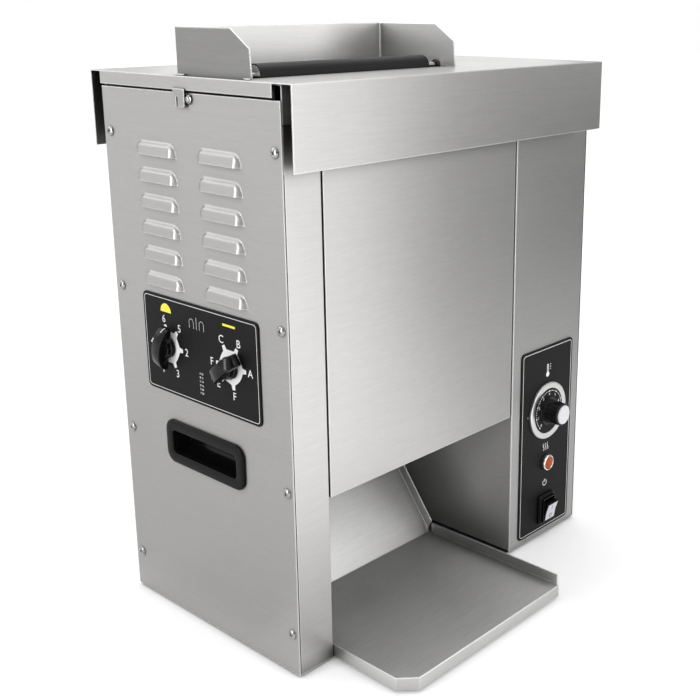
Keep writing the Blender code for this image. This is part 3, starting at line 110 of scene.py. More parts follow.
# %% Helpers for nodes
SIGNS = {"+": "ADD", "-": "SUBTRACT", "*": "MULTIPLY", ">": "GREATER_THAN", "min": "MINIMUM", "max": "MAXIMUM"}


def fill(tree, sockets, **values):
    """Set or link sockets, named with _ for a space, or as in0, in1 for a place in the row."""
    for name, value in values.items():
        socket = sockets[int(name[2:]) if name[:2] == "in" and name[2:].isdigit() else name.replace("_", " ")]
        if isinstance(value, bpy.types.NodeSocket):
            tree.links.new(value, socket)
        else:
            socket.default_value = value


def add_node(tree, kind, choices=None, **values):
    """Add a node with its choices and its sockets filled. Returns what it gives out."""
    made = tree.nodes.new("ShaderNode" + kind)
    for name, value in (choices or {}).items():
        setattr(made, name, value)
    fill(tree, made.inputs, **values)
    return made.outputs


def reckon(tree, value, *steps):
    """A sum in nodes, from left to right: a value, a sign, a value and so on."""
    for sign, other in zip(steps[::2], steps[1::2]):
        value = add_node(tree, "Math", {"operation": SIGNS[sign]}, in0=value, in1=other)[0]
    return value


def mix_colours(tree, share, *colours):
    """One colour that turns into another. Each is a link or three numbers."""
    first, second = (one if isinstance(one, bpy.types.NodeSocket) else (*one, 1) for one in colours)
    return add_node(tree, "Mix", {"data_type": "RGBA"}, in0=share, in6=first, in7=second)[2]


def cloud(tree, scale, detail):
    """A soft noise that stays with the piece."""
    place = add_node(tree, "TexCoord")["Object"]
    return add_node(tree, "TexNoise", Vector=place, Scale=scale, Detail=detail)[0]


def open_group(name, outputs, **inputs):
    """A new effect, from the names of what it gives out and its inputs' first values."""
    group = bpy.data.node_groups.new(name, "ShaderNodeTree")
    kinds = {"Colour": "NodeSocketColor", "Normal": "NodeSocketVector"}
    for label, value in inputs.items():
        kind = "NodeSocketFloat" if isinstance(value, float) else "NodeSocketColor"
        group.interface.new_socket(label, in_out="INPUT", socket_type=kind).default_value = value
    for label in outputs:
        group.interface.new_socket(label, in_out="OUTPUT", socket_type=kinds.get(label, "NodeSocketFloat"))
    return group, group.nodes.new("NodeGroupInput").outputs, group.nodes.new("NodeGroupOutput").inputs


print("signs for sums:", list(SIGNS))

# %% [markdown]
# ## Brushed grain
# A belt sander runs along the sheet before it is folded, so the scratches lie level on every upright panel
# and from side to side on the top. A noise that is stretched a few hundred times in one direction looks the
# same. The group swaps the stretched direction where the surface lies flat, lets slow streaks vary the
# colour and the gloss, and puts the finest scratches in the normal. It also rounds the normal near an edge,
# because a press brake can't fold a sharp corner, and that round corner draws a bright line down the sheet.

# %% Build the grain
flat_limit, fine_stretch, slow_stretch = 0.8, (40, 40, 680), (7, 7, 270)


def lies_flat(tree):
    """1 where the surface lies flat, and 0 where it stands."""
    facing = add_node(tree, "SeparateXYZ", Vector=add_node(tree, "TexCoord")["Normal"])["Z"]
    return reckon(tree, facing, "*", facing, ">", flat_limit ** 2)


def build_brushed_grain():
    group, given, wanted = open_group("brushed_grain", ["Colour", "Roughness", "Normal"], Steel=(0.7, 0.7, 0.7, 1),
                                      Roughness=0.35, Streaks=0.1, Depth=0.1, Bend=0.001)
    place = add_node(group, "TexCoord")["Object"]
    x, y, z = add_node(group, "SeparateXYZ", Vector=place)
    turned_place = add_node(group, "CombineXYZ", X=x, Y=z, Z=y)[0]
    along = add_node(group, "Mix", {"data_type": "VECTOR"}, in0=lies_flat(group), in4=place, in5=turned_place)[1]
    scratches = []
    for stretch in (fine_stretch, slow_stretch):
        scaled = add_node(group, "VectorMath", {"operation": "MULTIPLY"}, in0=along, in1=stretch)[0]
        scratches.append(add_node(group, "TexNoise", Vector=scaled, Scale=1.0, Detail=2.0, Roughness=0.65)[0])
    fine, slow = scratches
    sway = reckon(group, slow, "*", 0.3, "+", reckon(group, fine, "*", 0.7))
    change = reckon(group, sway, "-", 0.5, "*", given["Streaks"])
    brighter = reckon(group, change, "+", 1.0)
    tint = add_node(group, "VectorMath", {"operation": "SCALE"}, in0=given["Steel"], Scale=brighter)
    duller = reckon(group, cloud(group, 7.0, 2.0), "-", 0.5, "*", 0.08, "+", reckon(group, change, "*", 0.3))
    bend = add_node(group, "Bevel", {"samples": 4}, Radius=given["Bend"])[0]
    bump = add_node(group, "Bump", Strength=given["Depth"], Distance=0.0004, Height=fine, Normal=bend)
    fill(group, wanted, Colour=tint[0], Roughness=reckon(group, duller, "+", given["Roughness"]), Normal=bump[0])
    return group


brushed_grain = build_brushed_grain()
print("grain group sockets:", [item.name for item in brushed_grain.interface.items_tree])

# %% [markdown]
# ## Edges and skins
# Where steel is cut and folded, its edge is rubbed bright, and the same mask brightens it further as a painted
# highlight. A bevel node gives a normal that is rounded near an edge, and where it departs from the true normal
# there is an edge to brighten. In a tight corner the colour is darkened as painted shade: the share of open
# sky above each point sets how dark. Moulded plastic has a faint even pebble instead, and fingers leave dull
# patches on it.

# %% Build the edge and skin effects
def build_rubbed_edge():
    group, given, wanted = open_group("edge_wear_and_highlight", ["Mask"], Width=0.0008, Amount=0.5)
    rounded_normal = add_node(group, "Bevel", {"samples": 4}, Radius=given["Width"])[0]
    true_normal = add_node(group, "NewGeometry")["Normal"]
    dot = {"operation": "DOT_PRODUCT"}
    agree = add_node(group, "VectorMath", dot, in0=rounded_normal, in1=true_normal)["Value"]
    fill(group, wanted, Mask=reckon(group, 1.0, "-", agree, "*", 7.0, "min", 1.0, "*", given["Amount"]))
    return group


def build_tight_corner():
    group, given, wanted = open_group("painted_corner_shade", ["Mask"], Reach=0.02, Amount=0.7)
    # Painted shade: the mask is 1 where little open sky is within reach, and there it darkens the colour.
    open_share = add_node(group, "AmbientOcclusion", {"samples": 6}, Distance=given["Reach"])["AO"]
    fill(group, wanted, Mask=reckon(group, 1.0, "-", open_share, "*", 1.5, "min", 1.0, "*", given["Amount"]))
    return group


def build_moulded_skin():
    outputs = ["Roughness", "Normal"]
    group, given, wanted = open_group("moulded_skin", outputs, Roughness=0.35, Pebble=0.1, Handling=0.1)
    dull = reckon(group, cloud(group, 55.0, 3.0), "-", 0.45, "*", given["Handling"], "+", given["Roughness"])
    bump = add_node(group, "Bump", Strength=given["Pebble"], Distance=0.0001, Height=cloud(group, 1900.0, 1.0))
    fill(group, wanted, Roughness=dull, Normal=bump[0])
    return group


edge_wear_and_highlight, painted_corner_shade, moulded_skin = build_rubbed_edge(), build_tight_corner(), build_moulded_skin()
print("effects so far:", [group.name for group in bpy.data.node_groups])

# %% [markdown]
# ## Finishes
# Each finish is one surface shader with the effects placed before it. Steel is fully metallic: its colour is
# what it reflects, so the room decides how bright a panel looks. Its highlight spreads across the grain. At an
# edge the colour is more than twice as bright, part wear and part painted highlight; in a closed corner, as painted
# shade, an eighth as bright.

# %% Helpers for finishes
edge_highlight_share, edge_highlight_gain, painted_shade_gain = 0.8, 2.3, 0.12


def new_finish(name):
    finish = bpy.data.materials.new(name)
    finish.use_nodes = True
    return finish, finish.node_tree, finish.node_tree.nodes["Principled BSDF"].inputs


def place_effect(tree, group, **values):
    effect = tree.nodes.new("ShaderNodeGroup")
    effect.node_tree = group
    fill(tree, effect.inputs, **values)
    return effect.outputs


def metal(name, colour, roughness, streaks, depth, anisotropy=0.8, bend=0.0016, corner=0.7, reach=0.010,
          edge_width=0.0021, metallic=1.0):
    """A brushed, machined or polished metal."""
    finish, tree, shader = new_finish(name)
    grain = place_effect(tree, brushed_grain, Steel=(*colour, 1), Roughness=roughness, Streaks=streaks, Depth=depth,
                         Bend=bend)
    # Edge mask: rubbed edges, brightened further as a painted highlight.
    edge_wear_and_highlight_mask = place_effect(tree, edge_wear_and_highlight, Amount=edge_highlight_share, Width=edge_width)["Mask"]
    # Painted shade: in closed corners, gaps and under overhangs the colour darkens; corner sets how much, reach how
    # far.
    closed = place_effect(tree, painted_corner_shade, Amount=corner, Reach=reach)["Mask"]
    edge_brightened_colour = mix_colours(tree, edge_wear_and_highlight_mask, grain["Colour"], [min(1, value * edge_highlight_gain) for value in colour])
    across = add_node(tree, "Mix", {"data_type": "VECTOR"}, in0=lies_flat(tree), in4=(0, 0, 1), in5=(0, 1, 0))[1]
    shaded = mix_colours(tree, closed, edge_brightened_colour, [value * painted_shade_gain for value in colour])
    fill(tree, shader, Base_Color=shaded, Roughness=grain["Roughness"], Normal=grain["Normal"], Tangent=across,
         Metallic=metallic, Anisotropic=anisotropy)
    return finish


def plastic(name, colour, roughness, pebble, handling, edge=0.15, edge_colour=(0.12, 0.12, 0.12), gloss=0.5):
    """A moulded plastic, a rubber or a printed film."""
    finish, tree, shader = new_finish(name)
    skin = place_effect(tree, moulded_skin, Roughness=roughness, Pebble=pebble, Handling=handling)
    # The edge mask lightens edges towards edge_colour: partly wear, partly a painted highlight.
    edge_wear_and_highlight_mask = place_effect(tree, edge_wear_and_highlight, Amount=edge)["Mask"]
    fill(tree, shader, Base_Color=mix_colours(tree, edge_wear_and_highlight_mask, colour, edge_colour), Roughness=skin["Roughness"],
         Normal=skin["Normal"], Specular_IOR_Level=gloss)
    return finish


print("kinds of finish:", metal.__name__, "and", plastic.__name__)

# %% [markdown]
# Each group of sheets has a steel of its own, and the small differences of tone between them are painted light
# and shade. The sheets inside the bay and the chute are much paler, as painted light for light going to and fro
# between them. The walls that carry the rollers are very dark, and screws are polished and hardly brushed.

# %% Mix the finishes
steel = metal("brushed_stainless_steel", (0.368, 0.364, 0.359), 0.36, 0.17, 0.12, corner=0.35, reach=0.008)
# Its painted corner shade reaches further, so that it darkens the front under the cover's skirt.
front_steel = metal("front_stainless_steel", (0.382, 0.378, 0.374), 0.38, 0.22, 0.12, reach=0.024)
box_steel = metal("folded_stainless_steel", (0.390, 0.387, 0.381), 0.38, 0.24, 0.12, bend=0.0028)
wall_steel = metal("inner_stainless_steel", (0.60, 0.596, 0.588), 0.40, 0.25, 0.10, anisotropy=0.6, corner=0.4,
                   reach=0.05, metallic=0.6)
very_dark_steel = metal("dark_roller_wall_steel", (0.07, 0.068, 0.066), 0.45, 0.25, 0.10)
screw_steel = metal("screw_steel", (0.34, 0.337, 0.333), 0.13, 0.05, 0.02, anisotropy=0.0, bend=0.0002, reach=0.003,
                    edge_width=0.0003)
tray_steel = metal("tray_stainless_steel", (0.62, 0.617, 0.61), 0.42, 0.32, 0.12, corner=0.45, reach=0.035)
chute_steel = metal("chute_stainless_steel", (0.60, 0.597, 0.59), 0.40, 0.26, 0.10, anisotropy=0.5, corner=0.3)
latch_steel = metal("latch_stainless_steel", (0.34, 0.337, 0.332), 0.30, 0.12, 0.10, corner=0.95, reach=0.007)
# Painted shade: a darker copy of the chute's steel, for the left wall's outer face.
chute_shaded_side_steel = metal("chute_shaded_side_steel", (0.23, 0.228, 0.225), 0.36, 0.26, 0.10, anisotropy=0.5, corner=0.3)
turned_steel = metal("turned_steel", (0.56, 0.557, 0.55), 0.30, 0.06, 0.02, anisotropy=0.0, bend=0.0004,
                     edge_width=0.0006)
bright_steel = metal("polished_steel", (0.72, 0.715, 0.70), 0.16, 0.05, 0.02, anisotropy=0.0, bend=0.0003,
                     edge_width=0.0004)
gear_steel = metal("oiled_gear_steel", (0.32, 0.32, 0.33), 0.38, 0.12, 0.1, anisotropy=0.0)
zinc = metal("zinc_plated_steel", (0.52, 0.53, 0.54), 0.48, 0.10, 0.05, anisotropy=0.0)
cast_metal = metal("sand_cast_aluminium", (0.58, 0.58, 0.58), 0.5, 0.05, 0.2, anisotropy=0.0)
black_plastic = plastic("black_moulded_plastic", (0.005, 0.005, 0.0054), 0.13, 0.08, 0.08, gloss=0.20)
handle_plastic = plastic("black_handle_plastic", (0.005, 0.005, 0.005), 0.20, 0.15, 0.10, gloss=0.10)
plate_film = plastic("printed_plate_film", (0.009, 0.009, 0.0094), 0.5, 0.3, 0.1, gloss=0.08)
rubber = plastic("foot_rubber", (0.012, 0.012, 0.012), 0.8, 0.4, 0.2, gloss=0.2)
white_plastic = plastic("satin_white_plastic", (0.58, 0.58, 0.61), 0.42, 0.08, 0.1, edge_colour=(0.9, 0.9, 0.9))
motor_paint = plastic("motor_enamel", (0.05, 0.055, 0.06), 0.5, 0.3, 0.1)
white_ink = plastic("white_ink", (0.86, 0.86, 0.86), 0.55, 0.2, 0.1, edge=0.0)
yellow_ink = plastic("yellow_ink", (0.95, 0.79, 0.06), 0.5, 0.2, 0.1, edge=0.0)
grey_ink = plastic("grey_ink", (0.06, 0.06, 0.065), 0.5, 0.2, 0.1, edge=0.0)
print("finishes:", len(bpy.data.materials))

# %% [markdown]
# The belts are a woven glass cloth with a black non-stick coating. Two crossed wave textures make the weave,
# and they only move the normal, since the coating is one colour. The lamp's lens is amber plastic over a
# cut inner face, for which the small cells of a cell texture stand in.

# %% Belt and lens
def make_belt_finish():
    finish, tree, shader = new_finish("coated_belt_cloth")
    place = add_node(tree, "TexCoord")["Object"]
    threads = [add_node(tree, "TexWave", {"bands_direction": way}, Vector=place, Scale=180.0)["Fac"]
               for way in "XZ"]
    weave = reckon(tree, threads[0], "*", threads[1])
    bump = add_node(tree, "Bump", Strength=0.25, Distance=0.0003, Height=weave)
    fill(tree, shader, Base_Color=mix_colours(tree, weave, (0.006, 0.006, 0.0065), (0.012, 0.012, 0.012)),
         Roughness=reckon(tree, weave, "*", 0.15, "+", 0.42), Normal=bump[0], Specular_IOR_Level=0.16)
    return finish


def make_lens_finish():
    finish, tree, shader = new_finish("clear_amber_plastic")
    place = add_node(tree, "TexCoord")["Object"]
    cells = add_node(tree, "TexVoronoi", Vector=place, Scale=420.0)["Distance"]
    bump = add_node(tree, "Bump", Strength=0.35, Distance=0.0005, Height=cells)
    fill(tree, shader, Base_Color=mix_colours(tree, cells, (0.56, 0.09, 0.007), (0.17, 0.016, 0.004)),
         Normal=bump[0], Roughness=0.15, Specular_IOR_Level=0.18)
    return finish


belt_cloth, amber_lens = make_belt_finish(), make_lens_finish()
print("mixed:", belt_cloth.name, "and", amber_lens.name)

# %% [markdown]
# ## Dress the imported pieces
# Every imported piece gets its finish by name. Folded sheet has small rounded edges that catch the light: a
# weld joins the faces, and a narrow bevel rounds what is sharp. Neither changes the piece itself. The control
# box is one sheet, but its left side closes the bay, and so that side gets the bay walls' paler steel, painted light
# like theirs.

# %% Give the imported pieces their finishes
finish_of_slot = {
    "brushed_stainless": steel, "bright_steel": bright_steel, "gear_steel": gear_steel, "galvanised_steel": zinc,
    "cast_aluminium": cast_metal, "black_plastic": black_plastic, "printed_plate": plate_film,
    "black_rubber": rubber, "black_belt": belt_cloth, "white_plastic": white_plastic, "amber_lens": amber_lens,
    "motor_paint": motor_paint,
}
finish_of_node = {
    "landing_tray": tray_steel, "recess_left_wall": wall_steel, "control_box_front": box_steel,
    "front_pillar": front_steel, "front_door": front_steel, "top_cover": front_steel,
    "chamber_left_wall": very_dark_steel, "chamber_right_wall": very_dark_steel,
}
fold_round, fold_angle, weld_reach, facing_left = 0.00045, 40, 0.00001, -0.9


def round_edges(piece, width, angle):
    bevel = piece.modifiers.new("rounded_edges", "BEVEL")
    bevel.width, bevel.segments, bevel.limit_method, bevel.angle_limit = width, 2, "ANGLE", radians(angle)


def dress_faces(piece, finish, chosen):
    """A second finish, on the faces that a test picks."""
    piece.data.materials.append(finish)
    for face in piece.data.polygons:
        if chosen(face):
            face.material_index = 1


for entry in frame["record"]["subparts"]:
    node = frame["nodes"][entry["node"]]
    node.data.materials.clear()
    node.data.materials.append(finish_of_node.get(entry["node"], finish_of_slot[entry["material_slot"]]))
    node.modifiers.new("weld", "WELD").merge_threshold = weld_reach
    round_edges(node, fold_round, fold_angle)
dress_faces(frame["nodes"]["control_box_front"], wall_steel, lambda face: face.normal.x < facing_left)
print("pieces dressed:", len(frame["nodes"]))

# %% [markdown]
# ## The studio
# Polished steel shows the room, so the room is part of the finish. Floor and world look white to the eye and
# to every mirror, through the Light Path node, while the light that they send on to the toaster stays plain.
# Where the casing almost touches the floor, the floor's glow is darkened as a painted contact shadow.
# Large soft lamps hang above and stand before it, as tent lights do in a product studio, and a small one
# reaches into the bay. Cards that only polished things can see put a grey end to some reflections.

# %% Floor, world, lamps and cards
def seen_directly(tree):
    """1 for rays that look at a surface, straight or through gloss or glass, and 0 for spread light."""
    path = add_node(tree, "LightPath")
    return reckon(tree, path["Is Glossy Ray"], "max", path["Is Transmission Ray"], "max", path["Is Camera Ray"])


def flat_card(name, corners, detail_scale, first, second):
    """One face with a finish of two greys. Returns the object and its finish's tree and sockets."""
    mesh = bpy.data.meshes.new(name)
    mesh.from_pydata(corners, [], [(0, 1, 2, 3)])
    finish, tree, shader = new_finish(name)
    mesh.materials.append(finish)
    fill(tree, shader, Base_Color=mix_colours(tree, cloud(tree, detail_scale, 1.0), [first] * 3, [second] * 3))
    return put_in_scene(name, mesh), tree, shader


def build_floor(size, near, far, near_glow, far_glow):
    corners = [(-size, -size, 0), (size, -size, 0), (size, size, 0), (-size, size, 0)]
    floor, tree, shader = flat_card("studio_floor", corners, 3.0, 0.84, 0.86)
    place = add_node(tree, "TexCoord")["Object"]
    from_middle = add_node(tree, "VectorMath", {"operation": "LENGTH"}, in0=place)["Value"]
    level = add_node(tree, "MapRange", {"interpolation_type": "SMOOTHSTEP"}, in0=from_middle, in1=near, in2=far,
                     in3=near_glow, in4=far_glow)[0]
    # Painted contact shadow: the floor's glow is darkened where the casing stands close.
    closed = place_effect(tree, painted_corner_shade, Amount=0.85, Reach=0.010)["Mask"]
    glow = reckon(tree, 1.0, "-", closed, "*", level, "*", seen_directly(tree))
    fill(tree, shader, Roughness=0.9, Specular_IOR_Level=0.1, Emission_Color=(1, 1, 1, 1), Emission_Strength=glow)


def build_world(fill_light):
    world = bpy.data.worlds.new("studio")
    world.use_nodes = True
    bpy.context.scene.world = world
    tree = world.node_tree
    level = add_node(tree, "MapRange", in0=seen_directly(tree), in3=fill_light, in4=1.0)[0]
    fill(tree, tree.nodes["Background"].inputs, Color=(1, 1, 1, 1), Strength=level)


def soft_lamp(name, place, target, width, height, power):
    lamp = bpy.data.lights.new(name, "AREA")
    lamp.shape, lamp.size, lamp.size_y, lamp.energy = "RECTANGLE", width, height, power
    stand = put_in_scene(name, lamp)
    stand.location = place
    stand.rotation_euler = (Vector(target) - Vector(place)).to_track_quat("-Z", "Y").to_euler()
    stand.visible_camera = False


def grey_card(name, corners, grey):
    """A card with four corners, which only polished things can see."""
    card, _, shader = flat_card(name, corners, 2.0, grey, grey * 1.1)
    shader["Roughness"].default_value = 1.0
    card.visible_camera = card.visible_shadow = card.visible_diffuse = False


build_floor(12, near=0.5, far=3.5, near_glow=0.28, far_glow=0.75)
build_world(fill_light=0.42)
soft_lamp("overhead_lamp", (0.1, 0.2, 2.1), (0, 0, 0.3), 2.2, 2.2, 25)
soft_lamp("front_lamp", (0.80, -1.45, 0.55), (0.80, 0, 0.55), 1.3, 1.1, 8.0)
soft_lamp("floor_bounce", (0.05, -0.72, 0.01), (0.05, -0.72, 1.0), 0.7, 0.7, 2.2)
soft_lamp("side_lamp", (-1.4, 1.95, 1.80), (-0.2, 0, 0.35), 1.4, 1.9, 12)
soft_lamp("left_strip", (-2.1, 0.55, 0.75), (-0.2, 0, 0.35), 0.3, 1.5, 14)
soft_lamp("back_lamp", (2.2, 2.2, 0.9), (0.2, 0, 0.6), 1.6, 1.0, 8)
soft_lamp("front_strip", (0.0, -2.4, 0.8), (0, 0, 0.35), 0.6, 1.6, 10)
soft_lamp("bay_lamp", (-0.75, -1.05, 0.16), (0.11, -0.05, 0.12), 0.5, 0.3, 1.1)
soft_lamp("camera_lamp", (-1.25, -1.15, 1.35), (0, 0, 0.35), 0.5, 0.5, 3)
grey_card("right_card", [(0.80, -1.00, 0), (1.7, -0.35, 0), (1.7, -0.35, 0.55), (0.80, -1.00, 0.55)], 0.18)
grey_card("dark_card", [(-3.0, -0.5, 0.4), (-1.0, -2.8, 0.4), (-1.0, -2.8, 2.6), (-3.0, -0.5, 2.6)], 0.04)
grey_card("low_card", [(-1.0, 0, 0.002), (-0.27, 0, 0.002), (-0.27, 1.0, 0.002), (-1.0, 1.0, 0.002)], 0.85)

bpy.context.scene.view_settings.view_transform = "Standard"
print("lamps:", [light.name for light in bpy.data.lights])

# %% [markdown]
# ## Drawing and folding
# Sheet metal starts as a flat drawing and moulded parts start as a stack of rings. These helpers turn both
# into closed skins. A drawing has two axes, and the third is the way it faces: X for the left side of the
# toaster and Y for its front.

# %% Flat drawings
def spread(start, end, steps):
    """Values at even steps, with both ends."""
    return [start + (end - start) * step / steps for step in range(steps + 1)]


def on_circle(centre, radius, angle):
    return (centre[0] + radius * cos(angle), centre[1] + radius * sin(angle))


def arc(centre, radius, start, end, steps):
    return [on_circle(centre, radius, angle) for angle in spread(start, end, steps)]


def circle(centre, radius, steps=48):
    return arc(centre, radius, 0, tau, steps)[:-1]


def rounded(left, low, right, high, radius, steps=8):
    """A rectangle with round corners."""
    points = []
    for turn, (x, z) in enumerate(((right, high), (left, high), (left, low), (right, low))):
        across = x - copysign(radius, x - (left + right) / 2)
        up = z - copysign(radius, z - (low + high) / 2)
        points += arc((across, up), radius, turn * pi / 2, (turn + 1) * pi / 2, steps)
    return points


def pen_line(points, width):
    """The outline of a drawn line of one width."""
    sides = ([], [])
    for place, point in enumerate(points):
        before, after = points[max(place - 1, 0)], points[min(place + 1, len(points) - 1)]
        run = Vector((after[0] - before[0], after[1] - before[1])).normalized() * width / 2
        sides[0].append((point[0] - run.y, point[1] + run.x))
        sides[1].append((point[0] + run.y, point[1] - run.x))
    return sides[0] + sides[1][::-1]


def moved(points, place):
    return [(place[0] + across, place[1] + up) for across, up in points]


def turned_flat(points, centre, angle):
    """Points of a drawing turned about a centre, from its first axis towards its second."""
    turn = Matrix.Rotation(angle, 2)
    middle = Vector(centre)
    return [tuple(turn @ (Vector(point) - middle) + middle) for point in points]


def set_at(point, axis, depth):
    across, up = point
    return {"X": (depth, across, up), "Y": (across, depth, up), "Z": (across, up, depth)}[axis]


print("a rounded corner has", len(rounded(0, 0, 1, 1, 0.1)) // 4, "points")

# %% [markdown]
# A skin is a few bands of faces. A band joins two rows of corners, a sheet is two faces with a band round each
# of its loops, and a turned or moulded piece is a stack of rings with a band between each two.

# %% Closed skins
def band(maker, first, second, closed=True):
    """Faces between two rows of corners, which may share their ends."""
    for here in range(len(first) if closed else len(first) - 1):
        there = (here + 1) % len(first)
        maker.faces.new(list(dict.fromkeys([first[here], first[there], second[there], second[here]])))


def two_faces(maker, loops, axis, depths):
    """Both faces of a sheet: an outline and its holes. Returns each loop's corners on the two faces."""
    points = [point for loop in loops for point in loop]
    faces = [range(len(points))]
    if len(loops) > 1:
        faces = tessellate_polygon([[Vector((*point, 0)) for point in loop] for loop in loops])
    sides = [[maker.verts.new(set_at(point, axis, depth)) for point in points] for depth in depths]
    for side in sides:
        for corners in faces:
            maker.faces.new([side[index] for index in corners])
    ends = accumulate(len(loop) for loop in loops)
    return [[side[end - len(loop):end] for side in sides] for loop, end in zip(loops, ends)]


def flat_sheet(outline, axis, low, high, holes=()):
    """A drawing with its holes, given a thickness."""
    maker = bmesh.new()
    for first, second in two_faces(maker, [outline, *holes], axis, (low, high)):
        band(maker, first, second)
    return maker


def ring_skin(rings, joined=False):
    """A skin over rings of points, closed at its ends or, where joined, round on itself."""
    maker = bmesh.new()
    rows = [[maker.verts.new(point) for point in ring] for ring in rings]
    if not joined:
        maker.faces.new(rows[0])
        maker.faces.new(rows[-1])
    for first, second in zip(rows, rows[1:] + rows[:1] if joined else rows[1:]):
        band(maker, first, second)
    return maker


def stack(axis, levels, joined=False):
    """A skin through drawings that lie at several depths."""
    return ring_skin([[set_at(point, axis, depth) for point in outline] for depth, outline in levels], joined)


def lathe(centre, axis, profile, steps=64, joined=False):
    """A turned shape. The profile's points are (radius, place along the axis)."""
    return stack(axis, [(place, circle(centre, radius, steps)) for radius, place in profile], joined)


def as_mesh(maker):
    bmesh.ops.recalc_face_normals(maker, faces=maker.faces)
    mesh = bpy.data.meshes.new("shape")
    maker.to_mesh(mesh)
    maker.free()
    return mesh


def worked_out(thing):
    """The shape of an object with its lettering or its modifiers worked out. The object goes."""
    bpy.context.view_layer.update()
    maker = bmesh.new()
    maker.from_mesh(bpy.data.meshes.new_from_object(thing.evaluated_get(bpy.context.evaluated_depsgraph_get())))
    bpy.data.objects.remove(thing)
    return maker


def gathered(makers):
    """Several shapes in one."""
    whole = bmesh.new()
    for maker in makers:
        mesh = as_mesh(maker)
        whole.from_mesh(mesh)
        bpy.data.meshes.remove(mesh)
    return whole


def carved(base, operation, *helpers):
    """One shape joined with others or cut by them."""
    first, second = put_in_scene("base", as_mesh(base)), put_in_scene("helper", as_mesh(gathered(helpers)))
    carving = first.modifiers.new("carve", "BOOLEAN")
    carving.operation, carving.object, carving.solver = operation, second, "EXACT"
    result = worked_out(first)
    bpy.data.objects.remove(second)
    return result


slot_of_finish = {finish.name: slot for slot, finish in finish_of_slot.items()}
for slot, finishes in (("brushed_stainless", (chute_steel, latch_steel, box_steel)),
                       ("bright_steel", (turned_steel, screw_steel)), ("black_plastic", (handle_plastic,)),
                       ("printed_plate", (white_ink, yellow_ink)), ("white_plastic", (grey_ink,))):
    slot_of_finish.update({finish.name: slot for finish in finishes})


def add_piece(name, maker, finish, *stands_for, body="casing", sharp=32, bevel=0.0):
    """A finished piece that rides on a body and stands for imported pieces, from a shape in the casing's measures."""
    mesh = as_mesh(maker)
    mesh.name = name
    mesh.transform(Matrix.Translation(casing_corner))
    mesh.materials.append(finish)
    mesh.shade_smooth()
    mesh.set_sharp_from_angle(angle=radians(sharp))
    piece = put_in_scene(name, mesh)
    if bevel:
        round_edges(piece, bevel, max(sharp, fold_angle))
    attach(piece, body)
    if stands_for:
        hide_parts(*stands_for)
    return piece


print("finishes that pieces can have:", len(slot_of_finish))

# %% [markdown]
# ## Louvred side panels
# A louvre is lanced and pressed in one stroke: a blade cuts its lower edge, and a rounded punch swells the
# sheet outwards above the cut. The pressed outline is a flat arch, and from it the hood drops to the open lip
# while it bulges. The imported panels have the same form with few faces, and here it gets a soft start and
# round ends, so that light runs smoothly over it.

# %% The shape of a louvre
louvre_fronts, louvre_rows, louvre_lowest, louvre_pitch = (0.0585, 0.1612), 6, 0.380, 0.0276
louvre_width, louvre_height, louvre_depth, louvre_corner = 0.068, 0.0147, 0.0048, 0.011
hood_rows = (0.05, 0.10, 0.15, 0.20, 0.25, 0.30, 0.36, 0.50, 0.75, 1.0)
shoulder_share, shoulder_depth, end_round, corner_steps = 0.34, 0.60, 0.0095, 8


def eased(value):
    """Runs from 0 to 1 with a soft start and a soft end."""
    value = max(0, min(value, 1))
    return value * value * (3 - 2 * value)


def pressed_edge(front, low):
    """The outline of one louvre, from its front lower corner over the top to its back one."""
    bend = [(louvre_corner * (1 - cos(angle)), louvre_height * sin(angle))
            for angle in spread(0, pi / 2, corner_steps)]
    back = front + louvre_width
    return [(front + y, low + z) for y, z in bend] + [(back - y, low + z) for y, z in reversed(bend)]


def hood(maker, edge, depth, outwards):
    """The skin of a louvre between its pressed edge and its lip. Returns the lip's points."""
    low, front, back = edge[0].co.z, edge[0].co.y, edge[-1].co.y
    upper = edge
    for share in hood_rows:
        swell = shoulder_depth * eased(share / shoulder_share) + (1 - shoulder_depth) * share
        row = [edge[0]]
        for point in edge[1:-1]:
            from_end = min((point.co.y - front) / end_round, (back - point.co.y) / end_round, 1)
            roundness = from_end * (3 - from_end ** 2) / 2
            height = point.co.z + (low - point.co.z) * share
            row.append(maker.verts.new((depth + outwards * swell * roundness, point.co.y, height)))
        row.append(edge[-1])
        band(maker, upper, row, closed=False)
        upper = row
    return upper


print("points along a louvre:", len(pressed_edge(0, 0)))

# %% Press the panels
def louvred_panel(outline, holes, outer, inner):
    edges = [pressed_edge(front, louvre_lowest + row * louvre_pitch)
             for front in louvre_fronts for row in range(louvre_rows)]
    outwards = copysign(louvre_depth, outer - inner)
    maker = bmesh.new()
    loops = two_faces(maker, [outline, *holes, *edges], "X", (outer, inner))
    for first, second in loops[:-len(edges)]:
        band(maker, first, second)
    for first, second in loops[-len(edges):]:
        band(maker, [first[-1], first[0]], [second[-1], second[0]], closed=False)
        lips = [hood(maker, side, depth, outwards) for side, depth in ((first, outer), (second, inner))]
        band(maker, *lips, closed=False)
    return maker


handle_front, handle_back, handle_bottom, handle_top = 0.073, 0.208, 0.180, 0.233
sleeve_inset, sleeve_corner = 0.0097, 0.0065
knob_height, heel_knob_place, crown_knob_place, shaft_hole_radius = 0.315, 0.088, 0.192, 0.0033
notch_front, latch_front, notch_low, notch_round = 0.129, 0.138, 0.573, 0.003


def handle_ring(inset, corner, climb=0.0):
    """The handle's outline, drawn in by an inset. Its lower edge can climb."""
    return rounded(handle_front + inset, handle_bottom + inset + climb, handle_back - inset, handle_top - inset,
                   corner)


